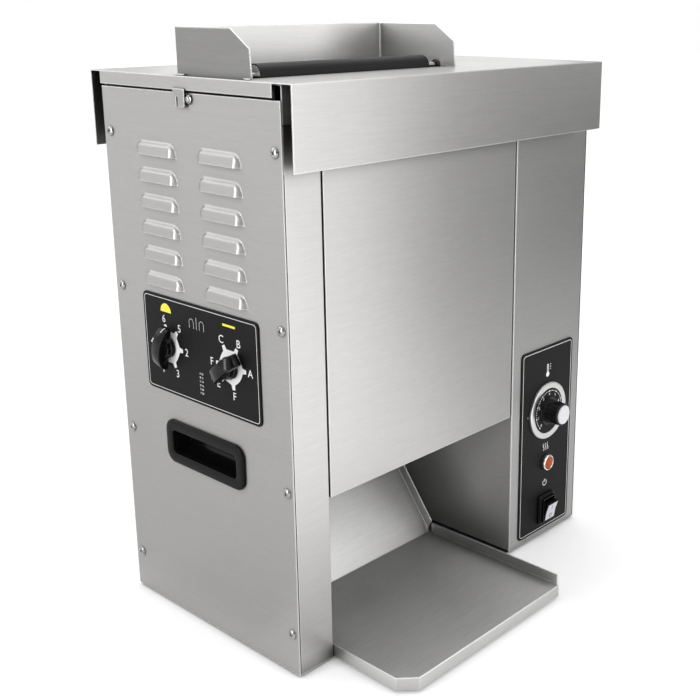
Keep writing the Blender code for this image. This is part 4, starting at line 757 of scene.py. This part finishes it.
handle_hole = handle_ring(sleeve_inset, sleeve_corner)
shaft_holes = [circle((place, knob_height), shaft_hole_radius, 16) for place in (heel_knob_place, crown_knob_place)]
notch_bend = arc((notch_front + notch_round, notch_low + notch_round), notch_round, pi * 1.5, pi, 6)
notch = [(latch_front, panel_height), (latch_front, notch_low), *notch_bend, (notch_front, panel_height)]
all_holes, all_cuts = ([handle_hole, *shaft_holes], [handle_hole]), (notch, [])
for (side, outer, inwards), holes, cut in zip(both_sides, all_holes, all_cuts):
    outline = [(0, 0), (casing_depth, 0), (casing_depth, panel_height), *cut, (0, panel_height)]
    pressed = louvred_panel(outline, holes, outer, outer + inwards * sheet_thickness)
    panel = add_piece(f"pressed_{side}_panel", pressed, steel, f"{side}_side_panel", sharp=34)
    panel.modifiers.new("flat_faces_stay_flat", "WEIGHTED_NORMAL").keep_sharp = True
    print(panel.name, "faces:", len(panel.data.polygons))

# %% [markdown]
# ## Panel screws
# Each side panel is held by eight machine screws. Their heads are domed and polished and have a cross recess,
# which a tapered cross cut out of the turned dome makes. One head is carved, and every screw is a copy.

# %% Carve a screw head and set the screws
def screw_head(radius=0.0055, height=0.0026, rim=0.0004, arm=0.0028, arm_half_width=0.0006, recess=0.0017):
    dome_angles = spread(0, pi / 2, 9)[1:-1]
    profile = [(radius, 0), (radius, rim)]
    profile += [(radius * cos(angle), rim + (height - rim) * sin(angle)) for angle in dome_angles]
    head = lathe((0, 0), "Z", profile, 40)
    for along, across in ((arm, arm_half_width), (arm_half_width, arm)):
        slot = rounded(-along, -across, along, across, 0.0003, 2)
        levels = [(depth, [(u * share, v * share) for u, v in slot])
                  for share, depth in ((1.1, height + 0.001), (0.62, height - recess))]
        head = carved(head, "DIFFERENCE", stack("Z", levels))
    return head


screw_mesh = as_mesh(screw_head())
screw_edges, screw_heights = (("front", 0.010), ("rear", 0.2755)), (0.044, 0.201, 0.368, 0.537)
first_twist, row_twist, edge_twist = 0.4, 1.3, 9
for side, face, inwards in both_sides:
    for edge, y in screw_edges:
        for row, z in enumerate(screw_heights, 1):
            maker = bmesh.new()
            maker.from_mesh(screw_mesh)
            twist = Matrix.Rotation(first_twist + row_twist * row + y * edge_twist, 4, "Z")
            lay = Matrix.Rotation(-inwards * pi / 2, 4, "Y")
            maker.transform(Matrix.Translation((face, y, z)) @ lay @ twist)
            add_piece(f"{side}_{edge}_screw_{row}", maker, screw_steel, sharp=40)
print("screws:", len(both_sides) * len(screw_edges) * len(screw_heights))

# %% [markdown]
# ## Bar knobs
# Each bun side has a knob of black phenolic plastic: a low round hub with an arched grip bar across it, moulded
# in one. The hub is turned, and the bar is an arch drawn from its side, given a width and rounded along its
# edges. A union makes them one skin. A white mark is let into the end that points.

# %% Mould the knobs
on_plate = -(plate_face + running_gap)
hub_profile = [(0.0112, 0), (0.0118, 0.0004), (0.0118, 0.0040), (0.0114, 0.0048), (0.0106, 0.0052),
               (0.0104, 0.0090), (0.0098, 0.0098)]
bar_half_length, bar_half_width, bar_foot, bar_end, bar_top = 0.0235, 0.0066, 0.0038, 0.0062, 0.0180
bar_edge, sharp_fold, mark_half_width, mark_depth, mark_rise = 0.0009, 1.2, 0.0007, -0.0005, 0.00015
bore_ends = (-0.001, 0.009)


def turned_on_plate(place, axis, profile, steps=64, joined=False):
    """A turned shape on a plate. The profile's points are (radius, height over the plate)."""
    return lathe(place, axis, [(radius, on_plate - height) for radius, height in profile], steps, joined)


def knob_point(centre, pointer, along, across, height):
    """A point of a knob, from the way that its bar points and the height over the plate."""
    y, z = turned_flat([(centre + across, knob_height + along)], (centre, knob_height), pointer)[0]
    return (on_plate - height, y, z)


def arch_point(angle, lift=0.0):
    """A place on the bar's arch: along the bar and over the plate."""
    return (bar_half_length + lift) * cos(angle), bar_end + (bar_top - bar_end + lift) * sin(angle)


def bar_knob(centre, pointer):
    hub = turned_on_plate((centre, knob_height), "X", hub_profile)
    side_view = [*map(arch_point, spread(0, pi, 20)), (-bar_half_length, bar_foot), (bar_half_length, bar_foot)]
    bar = flat_sheet(side_view, "Z", -bar_half_width, bar_half_width)
    bmesh.ops.recalc_face_normals(bar, faces=bar.faces)
    rims = [edge for edge in bar.edges if edge.calc_face_angle(0) > sharp_fold]
    bmesh.ops.bevel(bar, geom=rims, offset=bar_edge, segments=3, affect="EDGES", profile=0.5)
    for vert in bar.verts:
        vert.co = knob_point(centre, pointer, vert.co.x, vert.co.z, vert.co.y)
    bore_profile = [(shaft_hole_radius, height) for height in bore_ends]
    bore = turned_on_plate((centre, knob_height), "X", bore_profile, 32)
    return carved(carved(hub, "UNION", bar), "DIFFERENCE", bore)


def pointer_mark(centre, pointer):
    rings = []
    for degrees in range(6, 35, 7):
        (deep, low), (along, high) = (arch_point(radians(degrees), lift) for lift in (mark_depth, mark_rise))
        corners = [(deep, -mark_half_width, low), (deep, mark_half_width, low),
                   (along, mark_half_width, high), (along, -mark_half_width, high)]
        rings.append([knob_point(centre, pointer, *corner) for corner in corners])
    return ring_skin(rings)


for name, centre, pointer_degrees in (("heel", heel_knob_place, -127), ("crown", crown_knob_place, 13)):
    pointer, body = radians(pointer_degrees), f"{name}_adjuster"
    add_piece(f"{name}_bar_knob", bar_knob(centre, pointer), black_plastic, f"{name}_knob", body=body)
    add_piece(f"{name}_pointer_mark", pointer_mark(centre, pointer), white_plastic, body=body)
print("knobs stand", round(bar_top - on_plate, 4), "m off the panel")

# %% [markdown]
# ## Printing on the plates
# The plates are printed films on sheet steel. Ink is thin but it has a body, so each print is a sheet of a
# tenth of a millimetre on the plate's face. Figures start as lettering and are turned into a mesh.

# %% Inks and lettering
ink_thickness = 0.0001
print_depth = -plate_face - ink_thickness
white_line, plate_margin, capital_share = 0.00055, 0.0028, 0.69


def printed(outline, side, holes=(), depth=print_depth):
    """A flat print: side X is the left side's plate and Y the front's."""
    return flat_sheet(outline, side, depth, depth + ink_thickness, holes)


def printed_line(points, width, side):
    return printed(pen_line(points, width), side)


def lettering(text, height, side, place, depth=print_depth):
    """Text of a height, centred on a place of a drawing, as thin closed letters."""
    curve = bpy.data.curves.new("letters", "FONT")
    curve.body, curve.size, curve.extrude = text, height / capital_share, ink_thickness / 2
    curve.align_x, curve.align_y = "CENTER", "CENTER"
    maker = worked_out(put_in_scene("letters", curve))
    bmesh.ops.remove_doubles(maker, verts=maker.verts, dist=0.000001)
    middle, base = ((min(row) + max(row)) / 2 for row in ([vert.co[way] for vert in maker.verts] for way in (0, 1)))
    face = depth + ink_thickness / 2
    for vert in maker.verts:
        across, up, out = vert.co.x - middle, vert.co.y - base, vert.co.z
        across = -across if side == "X" else across
        vert.co = set_at((place[0] + across, place[1] + up), side, face - out)
    return maker


def inset_line(left, low, right, high, side):
    """A thin printed frame inside a plate's edge."""
    outer, inner = (rounded(left + inset, low + inset, right - inset, high - inset, corner)
                    for inset, corner in ((plate_margin, 0.0042), (plate_margin + white_line, 0.0038)))
    return printed(outer, side, [inner])


print("ink thickness:", ink_thickness)

# %% [markdown]
# The plate beside the knobs has a white ring with six pointed tabs round each knob, a figure or letter at
# every tab, and a yellow dome and bar that stand for the two bun halves. A small drawing of two arches and a
# line has six rows of plain letters and numbers under it.

# %% Print the side plate
def around(centre, radius, clockwise):
    """A place round a knob, at an angle from the top as the cook sees it."""
    angle = radians(clockwise)
    return (centre - radius * sin(angle), knob_height + radius * cos(angle))


def tabbed_ring(centre, angles, inner=0.0108, base=0.0186, tip=0.0240, sag=0.0008, root_half=9, tip_half=5):
    angles = sorted(angles)
    outline = []
    for here, after in zip(angles, [*angles[1:], angles[0] + 360]):
        outline.append(around(centre, base, here - root_half))
        outline += [around(centre, tip, here - tip_half), around(centre, tip, here + tip_half)]
        free = after - here - 2 * root_half
        outline += [around(centre, base - sag * sin(pi * step / 8), here + root_half + free * step / 8)
                    for step in range(8)]
    return printed(outline, "X", [circle((centre, knob_height), inner)])


figure_height, figure_ring, row_height, row_pitch, row_place = 0.0082, 0.0305, 0.0022, 0.0043, (0.138, 0.2965)
crown_marks = {-13: "6", 40: "5", 91: "2", 156: "3", 205: "1", 270: "4"}
heel_marks = {-27: "C", 27: "B", 90: "A", 172: "F", 224: "E", 270: "F"}
side_plate_edges = (0.043, 0.2615, 0.235, 0.370)
white_prints = [inset_line(*side_plate_edges, "X")]
for centre, marks in ((crown_knob_place, crown_marks), (heel_knob_place, heel_marks)):
    white_prints.append(tabbed_ring(centre, list(marks)))
    for angle, mark in marks.items():
        white_prints.append(lettering(mark, figure_height, "X", around(centre, figure_ring, angle)))
pair_middle, pair_foot, pair_top, arch_spring, arch_radius = 0.142, 0.3435, 0.3565, 0.3500, 0.0036
arch_shift, middle_line, arch_line = 0.0085, 0.0004, 0.00035
white_prints.append(printed_line([(pair_middle, pair_foot), (pair_middle, pair_top)], middle_line, "X"))
for shift in (-arch_shift, arch_shift):
    arch = arc((pair_middle + shift, arch_spring), arch_radius, 0, pi, 10)
    white_prints.append(printed_line([(arch[0][0], pair_foot), *arch, (arch[-1][0], pair_foot)], arch_line, "X"))
for row, mark in enumerate("ABCDEF"):
    place = (row_place[0], row_place[1] - row * row_pitch)
    white_prints.append(lettering(f"{mark} {10 + 2 * row}", row_height, "X", place))
add_piece("side_plate_white_print", gathered(white_prints), white_ink)

dome_place, dome_half_width, dome_height = (0.1945, 0.3525), 0.0092, 0.0095
bar_edges, bar_corner = (0.0785, 0.3568, 0.0985, 0.3592), 0.0003
dome = moved([(dome_half_width * cos(angle), dome_height * sin(angle)) for angle in spread(0, pi, 16)],
             dome_place)
bar = rounded(*bar_edges, bar_corner, 1)
add_piece("side_plate_yellow_print", gathered([printed(dome, "X"), printed(bar, "X")]), yellow_ink)
print("marks on the side plate:", len(crown_marks) + len(heel_marks))

# %% [markdown]
# The control plate has the same frame. Above each control stands a plain sign in place of a word: a
# thermometer, three waves of heat and the usual sign for power.

# %% Print the control plate
control_axis, thermostat_height, lamp_height, rocker_height = 0.421, 0.171, 0.1005, 0.0375
thermostat_place, lamp_place = (control_axis, thermostat_height), (control_axis, lamp_height)
thermometer_place, wave_place, power_place = ((control_axis, height) for height in (0.2245, 0.1165, 0.0715))
control_plate_edges, rest_dot_shift, dot_radius = (0.3673, 0.007, 0.474, 0.256), 0.0395, 0.0006
sign_line, degree_line, wave_shift, wave_sway, wave_height = 0.0008, 0.0006, 0.0042, 0.0011, 0.0095


def tube(half_width, low):
    return [(-half_width, low), *arc((0, 0.0062), half_width, pi, 0, 8), (half_width, low)]


bulb = arc((0, -0.0058), 0.0031, radians(58), radians(-238), 20)
glass = moved([*tube(0.0016, -0.0032), *bulb], thermometer_place)
hollow = moved(tube(0.0008, -0.0026), thermometer_place)
control_prints = [inset_line(*control_plate_edges, "Y"), printed(glass, "Y", [hollow])]
for height in (0.0065, 0.0035, 0.0005):
    degree = moved([(0.0042, height), (0.0066, height)], thermometer_place)
    control_prints.append(printed_line(degree, degree_line, "Y"))
for shift in (-wave_shift, 0, wave_shift):
    wave = [(shift + wave_sway * sin(share * tau), wave_height * share) for share in spread(0, 1, 16)]
    control_prints.append(printed_line(moved(wave, wave_place), sign_line, "Y"))
power_ring = arc(power_place, 0.0038, radians(125), radians(415), 26)
power_stroke = moved([(0, 0.0007), (0, 0.0050)], power_place)
control_prints += [printed_line(line, sign_line, "Y") for line in (power_ring, power_stroke)]
control_prints.append(printed(circle((control_axis - rest_dot_shift, thermostat_height), dot_radius, 16), "Y"))
add_piece("control_plate_print", gathered(control_prints), white_ink)
print("prints on the control plate:", len(control_prints))

# %% [markdown]
# ## Pull handles
# The handle is a moulded cup: a wide rim with soft edges round a pocket for four fingers. The pocket's floor
# sweeps up into its back wall, which a stack of rings shows when their lower edge climbs with the depth. Each
# ring has its depth, its inset from the rim's outline, its corner and how far its lower edge has climbed.

# %% Mould the handles
rim_inset, rim_corner, rim_round, pocket_sweep, pocket_depth = 0.0016, 0.0125, 0.0016, 0.0150, 0.0220
quarter, fine_quarter = spread(0, pi / 2, 4), spread(0, pi / 2, 8)
handle_levels = [(0.0245, 0.0127, sleeve_corner, 0), (-0.0003, sleeve_inset, sleeve_corner, 0),
                 (-0.0003, rim_inset, rim_corner, 0)]
handle_levels += [(-0.0014 - rim_round * sin(angle), rim_inset + rim_round * (1 - cos(angle)), rim_corner, 0)
                  for angle in quarter]
handle_levels += [(-0.0030 + 0.0014 * (1 - cos(angle)), 0.0122 + 0.0010 * sin(angle), 0.0055, 0)
                  for angle in quarter]
handle_levels += [(pocket_depth - pocket_sweep * (1 - sin(angle)), 0.0135 + 0.0012 * step / 8, 0.0030,
                   (pocket_sweep - 0.0035) * (1 - cos(angle))) for step, angle in enumerate(fine_quarter)]
for side, face, inwards in both_sides:
    levels = [(face + inwards * depth, handle_ring(*shape)) for depth, *shape in handle_levels]
    add_piece(f"{side}_moulded_handle", stack("X", levels), handle_plastic, f"{side}_pull_handle", sharp=36)
print("rings in a handle:", len(handle_levels))

# %% [markdown]
# ## Cover latch
# A small fork of steel hangs from the cover's lip and drops beside a screw in a notch of the panel. Its prongs
# are rounded, and its slot has a round end, because a punch made it.

# %% Punch the fork and turn its screw
fork_top, fork_bottom, fork_front, fork_back = 0.588, 0.5695, 0.138, 0.1565
slot_front, slot_back, slot_top, slot_round, slot_chamfer = 0.1485, 0.1511, 0.5787, 0.0013, 0.0008
front_round, rear_round, slot_flare, fork_faces = 0.003, 0.002, 0.0006, (-0.0031, -0.0019)
fork = [(fork_front, fork_top),
        *arc((fork_front + front_round, fork_bottom + front_round), front_round, pi, pi * 1.5, 6),
        (slot_front - slot_chamfer, fork_bottom), (slot_front, fork_bottom + slot_chamfer),
        *arc(((slot_front + slot_back) / 2, slot_top), slot_round, pi, 0, 8),
        (slot_back, fork_bottom + slot_chamfer), (slot_back + slot_flare, fork_bottom),
        *arc((fork_back - rear_round, fork_bottom + rear_round), rear_round, -pi / 2, 0, 5), (fork_back, fork_top)]
fork_sheet = flat_sheet(fork, "X", *fork_faces)
add_piece("latch_fork", fork_sheet, latch_steel, "cover_latch", body="cover", bevel=0.0003)

screw_profile = [(0.0020, 0.0012), (0.0020, -0.0004), (0.0039, -0.0004), (0.0040, -0.0008), (0.0040, -0.0014),
                 (0.0034, -0.0016), (0.0030, -0.0018), (0.0030, -0.0026), (0.0024, -0.0031), (0.0012, -0.0033)]
neck_screw_place = (0.1335, 0.578)
neck_screw = lathe(neck_screw_place, "X", screw_profile, 40)
add_piece("latch_neck_screw", neck_screw, screw_steel, "latch_screw", sharp=40)
print("fork height:", round(fork_top - fork_bottom, 4))

# %% [markdown]
# ## Thermostat
# A bought control: a turned steel bezel, and inside it a black dial disc with a fluted grip and a white cap,
# all three turning together. The grip's grooves come from a ring whose radius dips sixteen times. The disc's
# face is printed, so it has the plates' dull film, while the grip shines.

# %% Turn the bezel, the dial and its cap
bezel_profile = [(0.0370, 0), (0.0370, 0.0010), (0.0362, 0.0013), (0.0362, 0.0016), (0.0370, 0.0019),
                 (0.0369, 0.0025), (0.0364, 0.0030), (0.0354, 0.0032),
                 (0.0306, 0.0032), (0.0296, 0.0030), (0.0289, 0.0022), (0.0287, 0.0012), (0.0287, 0)]
bezel = turned_on_plate(thermostat_place, "Y", bezel_profile, 96, True)
add_piece("thermostat_ring", bezel, turned_steel, "thermostat_bezel")

dial_back, dial_face, grip_top = -0.0026, -0.0048, -0.0261
grooves, ring_points = 16, 192


def grooved(radius, depth):
    return [on_circle(thermostat_place, radius - depth * max(0, cos(angle * grooves)) ** 3, angle)
            for angle in spread(0, tau, ring_points)[:-1]]


dial_levels = [(0.0030, 0, 0.0064), (0.0030, 0, dial_back), (0.0278, 0, dial_back), (0.0282, 0, dial_back - 0.0004),
               (0.0282, 0, dial_face + 0.0004), (0.0278, 0, dial_face), (0.0182, 0, dial_face),
               (0.0182, 0, dial_face - 0.0012), (0.0176, 0, dial_face - 0.0018), (0.0150, 0, dial_face - 0.0018),
               (0.0148, 0.0009, dial_face - 0.0022), (0.0143, 0.0009, grip_top + 0.0016),
               (0.0140, 0.0007, grip_top + 0.0007), (0.0134, 0.0003, grip_top + 0.0001), (0.0128, 0, grip_top)]
dial = stack("Y", [(depth, grooved(radius, groove)) for radius, groove, depth in dial_levels])
grip = add_piece("thermostat_grip", dial, black_plastic, "thermostat_knob", body="thermostat_dial", sharp=38)
disc_front = casing_corner.y + dial_face
dress_faces(grip, plate_film, lambda face: abs(face.center.y - disc_front) < 0.0001)

cap_profile = [(0.0117, -0.0264), (0.0120, -0.0267), (0.0120, -0.0276), (0.0117, -0.0281), (0.0112, -0.0283),
               (0.0108, -0.0281), (0.0104, -0.0281), (0.0100, -0.0284)]
cap = lathe(thermostat_place, "Y", cap_profile, 72)
add_piece("thermostat_white_cap", cap, white_plastic, "thermostat_cap", body="thermostat_dial")
print("grip grooves:", grooves)

# %% Print the dial
scale_start, scale_turn, on_disc = radians(225), radians(270), dial_face - ink_thickness
dot_ring, small_dot, big_dot, number_ring, number_height = 0.0262, 0.0006, 0.0010, 0.0222, 0.0034
highest_number, dots_per_number = 8, 5
dots = highest_number * dots_per_number
dial_prints = []
for mark in range(dots + 1):
    place = on_circle(thermostat_place, dot_ring, scale_start - scale_turn * mark / dots)
    dot = small_dot if mark % dots_per_number else big_dot
    dial_prints.append(printed(circle(place, dot, 12), "Y", depth=on_disc))
for number in range(highest_number + 1):
    place = on_circle(thermostat_place, number_ring, scale_start - scale_turn * number / highest_number)
    dial_prints.append(lettering(str(number), number_height, "Y", place, on_disc))
add_piece("thermostat_scale", gathered(dial_prints), white_ink, body="thermostat_dial")
print("marks and numbers on the dial:", len(dial_prints))

# %% [markdown]
# ## Lamp and rocker switch
# The lamp is a polished collar round an amber lens. The rocker is a black body with a white face let into it,
# marked I and O. Its face has a shallow dish, so the marks are laid over two slopes.

# %% Turn the lamp
collar_profile = [(0.0075, -0.016), (0.0075, 0), (0.0105, 0), (0.0105, 0.0046), (0.0102, 0.0054), (0.0096, 0.0060),
                  (0.0089, 0.0062), (0.0084, 0.0060), (0.0083, 0.0054), (0.0083, 0.0024)]
collar = turned_on_plate(lamp_place, "Y", collar_profile)
add_piece("lamp_collar", collar, bright_steel, "lamp_bezel", sharp=36)
lens_radius, lens_foot, lens_edge, lens_bulge = 0.0080, 0.0027, 0.0054, 0.0016
lens_profile = [(lens_radius, lens_foot), (lens_radius, lens_edge)]
lens_profile += [(lens_radius * cos(turn), lens_edge + lens_bulge * sin(turn)) for turn in fine_quarter[1:-1]]
add_piece("lamp_amber_lens", turned_on_plate(lamp_place, "Y", lens_profile), amber_lens, "lamp_lens")
print("lens stands", round(lens_edge + lens_bulge, 4), "m off the plate")

# %% Shape the rocker
rocker_half, rocker_reach, rocker_pivot, rocker_dish = 0.0128, 0.0095, -0.0043, 0.0010
rocker_tilt, rocker_width, foot_round = radians(14), 0.0215, 0.002
rocker_axis = (rocker_pivot, rocker_height)


def rocker_place(x, height, lift=0.0):
    """A point over the rocker's dished face, turned with its tilt."""
    depth = rocker_pivot - rocker_reach + rocker_dish * (1 - abs(height) / rocker_half) - lift
    y, z = turned_flat([(depth, rocker_height + height)], rocker_axis, rocker_tilt)[0]
    return (control_axis + x, y, z)


def on_rocker(flat, lift, thickness):
    """A thin slab over the rocker's face from a drawing (across, height)."""
    return ring_skin([[rocker_place(x, height, level) for x, height in flat] for level in (lift - thickness, lift)])


profile = [(-foot_round, rocker_half - 0.001), (-rocker_reach, rocker_half), (rocker_dish - rocker_reach, 0),
           (-rocker_reach, -rocker_half), (-foot_round, 0.001 - rocker_half)]
profile += arc((-foot_round, 0), foot_round, -pi / 2, pi / 2, 8)[1:-1]
profile = turned_flat(moved(profile, rocker_axis), rocker_axis, rocker_tilt)
rocker = flat_sheet(profile, "X", control_axis - rocker_width / 2, control_axis + rocker_width / 2)
add_piece("rocker_body", rocker, black_plastic, "rocker_button", body="rocker", bevel=0.0006)
print("rocker height:", round(2 * rocker_half, 4))

# %% [markdown]
# The white face is two slabs that meet in the middle of the dish. Their corners are joined there and the two
# walls between them go, so that the face is one skin.

# %% Lay the white face and its marks
face_margin, face_lift, face_thickness, mark_lift, mark_thickness = 0.0012, 0.0004, 0.0010, 0.0005, 0.0002
stroke_half_width, stroke_ends = 0.0006, (0.0034, 0.0090)
ring_place, ring_radius, ring_share = -0.0064, 0.0030, 0.68
half_width, half_length = rocker_width / 2 - face_margin, rocker_half - face_margin


def upright(half, low, high):
    """A rectangle on the rocker's middle line."""
    return [(-half, low), (half, low), (half, high), (-half, high)]


slabs = [upright(half_width, *ends) for ends in ((0.0, half_length), (-half_length, 0.0))]
white_face = gathered([on_rocker(slab, face_lift, face_thickness) for slab in slabs])
bmesh.ops.remove_doubles(white_face, verts=white_face.verts, dist=0.00001)
middle = rocker_place(0, 0)[2]
inner_faces = [face for face in white_face.faces if all(abs(v.co.z - middle) < 0.0005 for v in face.verts)]
bmesh.ops.delete(white_face, geom=inner_faces, context="FACES_ONLY")
add_piece("rocker_face", white_face, white_plastic, body="rocker", bevel=0.00025)

flat_marks = [upright(stroke_half_width, *stroke_ends)]
ring_o = arc((0, ring_place), ring_radius, 0, tau, 24)
for here, there in zip(ring_o, ring_o[1:]):
    inner = [(x * ring_share, ring_place + (height - ring_place) * ring_share) for x, height in (there, here)]
    flat_marks.append([here, there, *inner])
marks = gathered([on_rocker(mark, mark_lift, mark_thickness) for mark in flat_marks])
bmesh.ops.remove_doubles(marks, verts=marks.verts, dist=0.000001)
add_piece("rocker_marks", marks, grey_ink, body="rocker")
print("faces in the marks:", 6 * len(flat_marks))

# %% [markdown]
# The switch sits in a frame with two steps and a groove between them, as a bought switch does. The packed
# frame has the plain collar, and this trim lies round it.

# %% Step the switch frame
frame_half_width, frame_half_height, frame_corner = 0.01245, 0.0163, 0.0006
trim_profile = [(-0.0001, 0.0050), (-0.0001, 0.0), (0.0029, 0.0), (0.0030, 0.0028), (0.0028, 0.0033),
                (0.0020, 0.0035), (0.0020, 0.0042), (0.0022, 0.0044), (0.0021, 0.0051), (0.0016, 0.0054),
                (0.0007, 0.0054)]
trim_levels = []
for grow, height in trim_profile:
    wide, tall = frame_half_width + grow, frame_half_height + grow
    ring = rounded(control_axis - wide, rocker_height - tall, control_axis + wide, rocker_height + tall,
                   frame_corner + max(grow, 0) * 0.3)
    trim_levels.append((on_plate - height, ring))
add_piece("rocker_frame_trim", stack("Y", trim_levels, joined=True), black_plastic, sharp=36)
print("trim width:", round(2 * (frame_half_width + max(trim_profile)[0]), 4))

# %% [markdown]
# Below the plate a small tongue is lanced out of the box's front. It hooks behind the base pan.

# %% Lance the tongue
tongue_left, tongue_right, tongue_low, tongue_high, tongue_rise = 0.3846, 0.3868, 0.0004, 0.0062, 0.0007
tongue = flat_sheet(rounded(tongue_left, tongue_low, tongue_right, tongue_high, 0.0010, 4), "Y", -tongue_rise, 0.0)
add_piece("lanced_tongue", tongue, box_steel, bevel=0.0003)
print("tongue height:", round(tongue_high - tongue_low, 4))

# %% [markdown]
# ## Seams
# A side panel's front edge meets the pillar, or the control box, with hardly any gap. On the real machine the
# seam is a thin dark line of shade, since light goes in and doesn't come out. A narrow dark strip paints that shade.

# %% Draw the seams
seam_low, seam_high, seam_width, seam_depth = 0.001, 0.518, 0.0008, 0.0001
for seam_name, seam_left in (("left_seam_shade", 0.0011), ("right_seam_shade", 0.4882)):
    outline = rounded(seam_left, seam_low, seam_left + seam_width, seam_high, 0.0003, 2)
    add_piece(seam_name, flat_sheet(outline, "Y", -seam_depth, 0.0), black_plastic)
print("seam length:", round(seam_high - seam_low, 3))

# %% [markdown]
# Inside the bay the box's side has a seam as well, a line of shade that a dark strip paints. It runs along the
# foot and then rises at the slope of the plate behind the tray. One drawing goes out along one side of it and comes
# back along the other.

# %% Draw the bay's seam
bay_wall, seam_turn, slope_length, slope_angle = 0.350, 0.129, 0.19, radians(53)
slope_along = Vector((cos(slope_angle), sin(slope_angle)))
slope_away = Vector((-slope_along.y, slope_along.x))


def seam_line(level, aside):
    """Along the foot at one height and up the slope at one distance, as points of depth and height."""
    foot = Vector((seam_turn, 0)) + slope_away * aside
    turn = foot + slope_along * ((level - foot.y) / slope_along.y)
    return [Vector((0.0005, level)), turn, foot + slope_along * slope_length]


lower_side, upper_side = (0.0002, -0.0008), (0.0014, 0.0010)
outline = [*seam_line(*lower_side), *reversed(seam_line(*upper_side))]
add_piece("bay_seam_shade", flat_sheet(outline, "X", bay_wall - seam_depth, bay_wall), black_plastic)
print("the bay's seam turns up at a depth of", seam_turn)

# %% [markdown]
# ## Belts
# Two belts of coated glass cloth run over rollers at top and bottom. Seen from above, only the upper turn of
# the front one shows in the chute's mouth. A long loop is a drawing with two half circles and a hole.

# %% Lay the belts
belt_left, belt_right, belt_radius, belt_thickness, roller_low = 0.030, 0.267, 0.0115, 0.001, 0.262


def belt_loop(axis, top, radius):
    upper = arc((axis, top), radius, 0, pi, 24)
    return upper + arc((axis, roller_low), radius, pi, tau, 24)


for name, axis, top in (("heel", 0.072, 0.6015), ("crown", 0.172, 0.572)):
    outer, inner = (belt_loop(axis, top, radius) for radius in (belt_radius, belt_radius - belt_thickness))
    loop = flat_sheet(outer, "X", belt_left, belt_right, [inner])
    add_piece(f"{name}_cloth_belt", loop, belt_cloth, f"{name}_belt")
print("belt width:", round(belt_right - belt_left, 4))

# %% [markdown]
# ## Bun chute
# The chute is one sheet, bent twice behind the mouth, with its side walls cut back at the front. A press brake
# leaves a small radius at each bend, and that radius is what draws a bright line from top to bottom. The left
# wall's outer face gets a darker copy of the chute's steel as painted shade, since it looks away from the lamps.

# %% Bend the chute
chute_left, chute_right, chute_front, chute_back, chute_bend = 0.005, 0.2922, 0.044, 0.1592, 0.003
cover_top, chute_height, mouth_back, front_cut = 0.600, 0.046, 0.0598, 0.029
cheek_lean, cheek_height, sunk = 0.002, 0.028, 0.010
ahead, over, below = chute_front - 0.01, cover_top + 0.06, cover_top - 0.02
seat, rim_height = cover_top + running_gap, cover_top + chute_height


def bent_wall(inset):
    """One side of the sheet in plan, from the left wall's front edge round to the right one's."""
    left, right, back = chute_left + inset, chute_right - inset, chute_back - inset
    bend = chute_bend - inset
    return [(left, chute_front), *arc((left + bend, back - bend), bend, pi, pi / 2, 6),
            *arc((right - bend, back - bend), bend, pi / 2, 0, 6), (right, chute_front)]


wall = flat_sheet(bent_wall(0) + bent_wall(sheet_thickness)[::-1], "Z", cover_top - sunk, rim_height)
trim = [(ahead, below), (mouth_back, below), (mouth_back, seat), (chute_front, seat),
        (chute_front + cheek_lean, cover_top + cheek_height), (chute_front + front_cut, rim_height),
        (chute_front + front_cut, over), (ahead, over)]
chute = carved(wall, "DIFFERENCE", flat_sheet(trim, "X", -0.01, 0.31))
folded_chute = add_piece("folded_chute", chute, chute_steel, "bun_chute", body="cover", bevel=0.0003)
wall_limit = casing_corner.x + chute_left + 0.01
# Painted shade: the left wall's outer face gets the darker copy of the chute's steel.
dress_faces(folded_chute, chute_shaded_side_steel, lambda face: face.normal.x < facing_left and face.center.x < wall_limit)
print("chute height over the cover:", chute_height)

# %% [markdown]
# Two small feet are turned out at the lower edge of the chute's left wall. They are where it is welded to the
# cover.

# %% Turn out the feet
foot_reach, foot_corner = 0.0035, 0.001
for place, front, back in (("front", 0.0445, 0.0525), ("rear", 0.1435, 0.1580)):
    outline = rounded(chute_left - foot_reach, front, chute_left, back, foot_corner, 3)
    foot = flat_sheet(outline, "Z", seat, seat + sheet_thickness)
    add_piece(f"chute_{place}_foot", foot, chute_steel, body="cover", bevel=0.0003)
print("feet reach out by", foot_reach, "m")
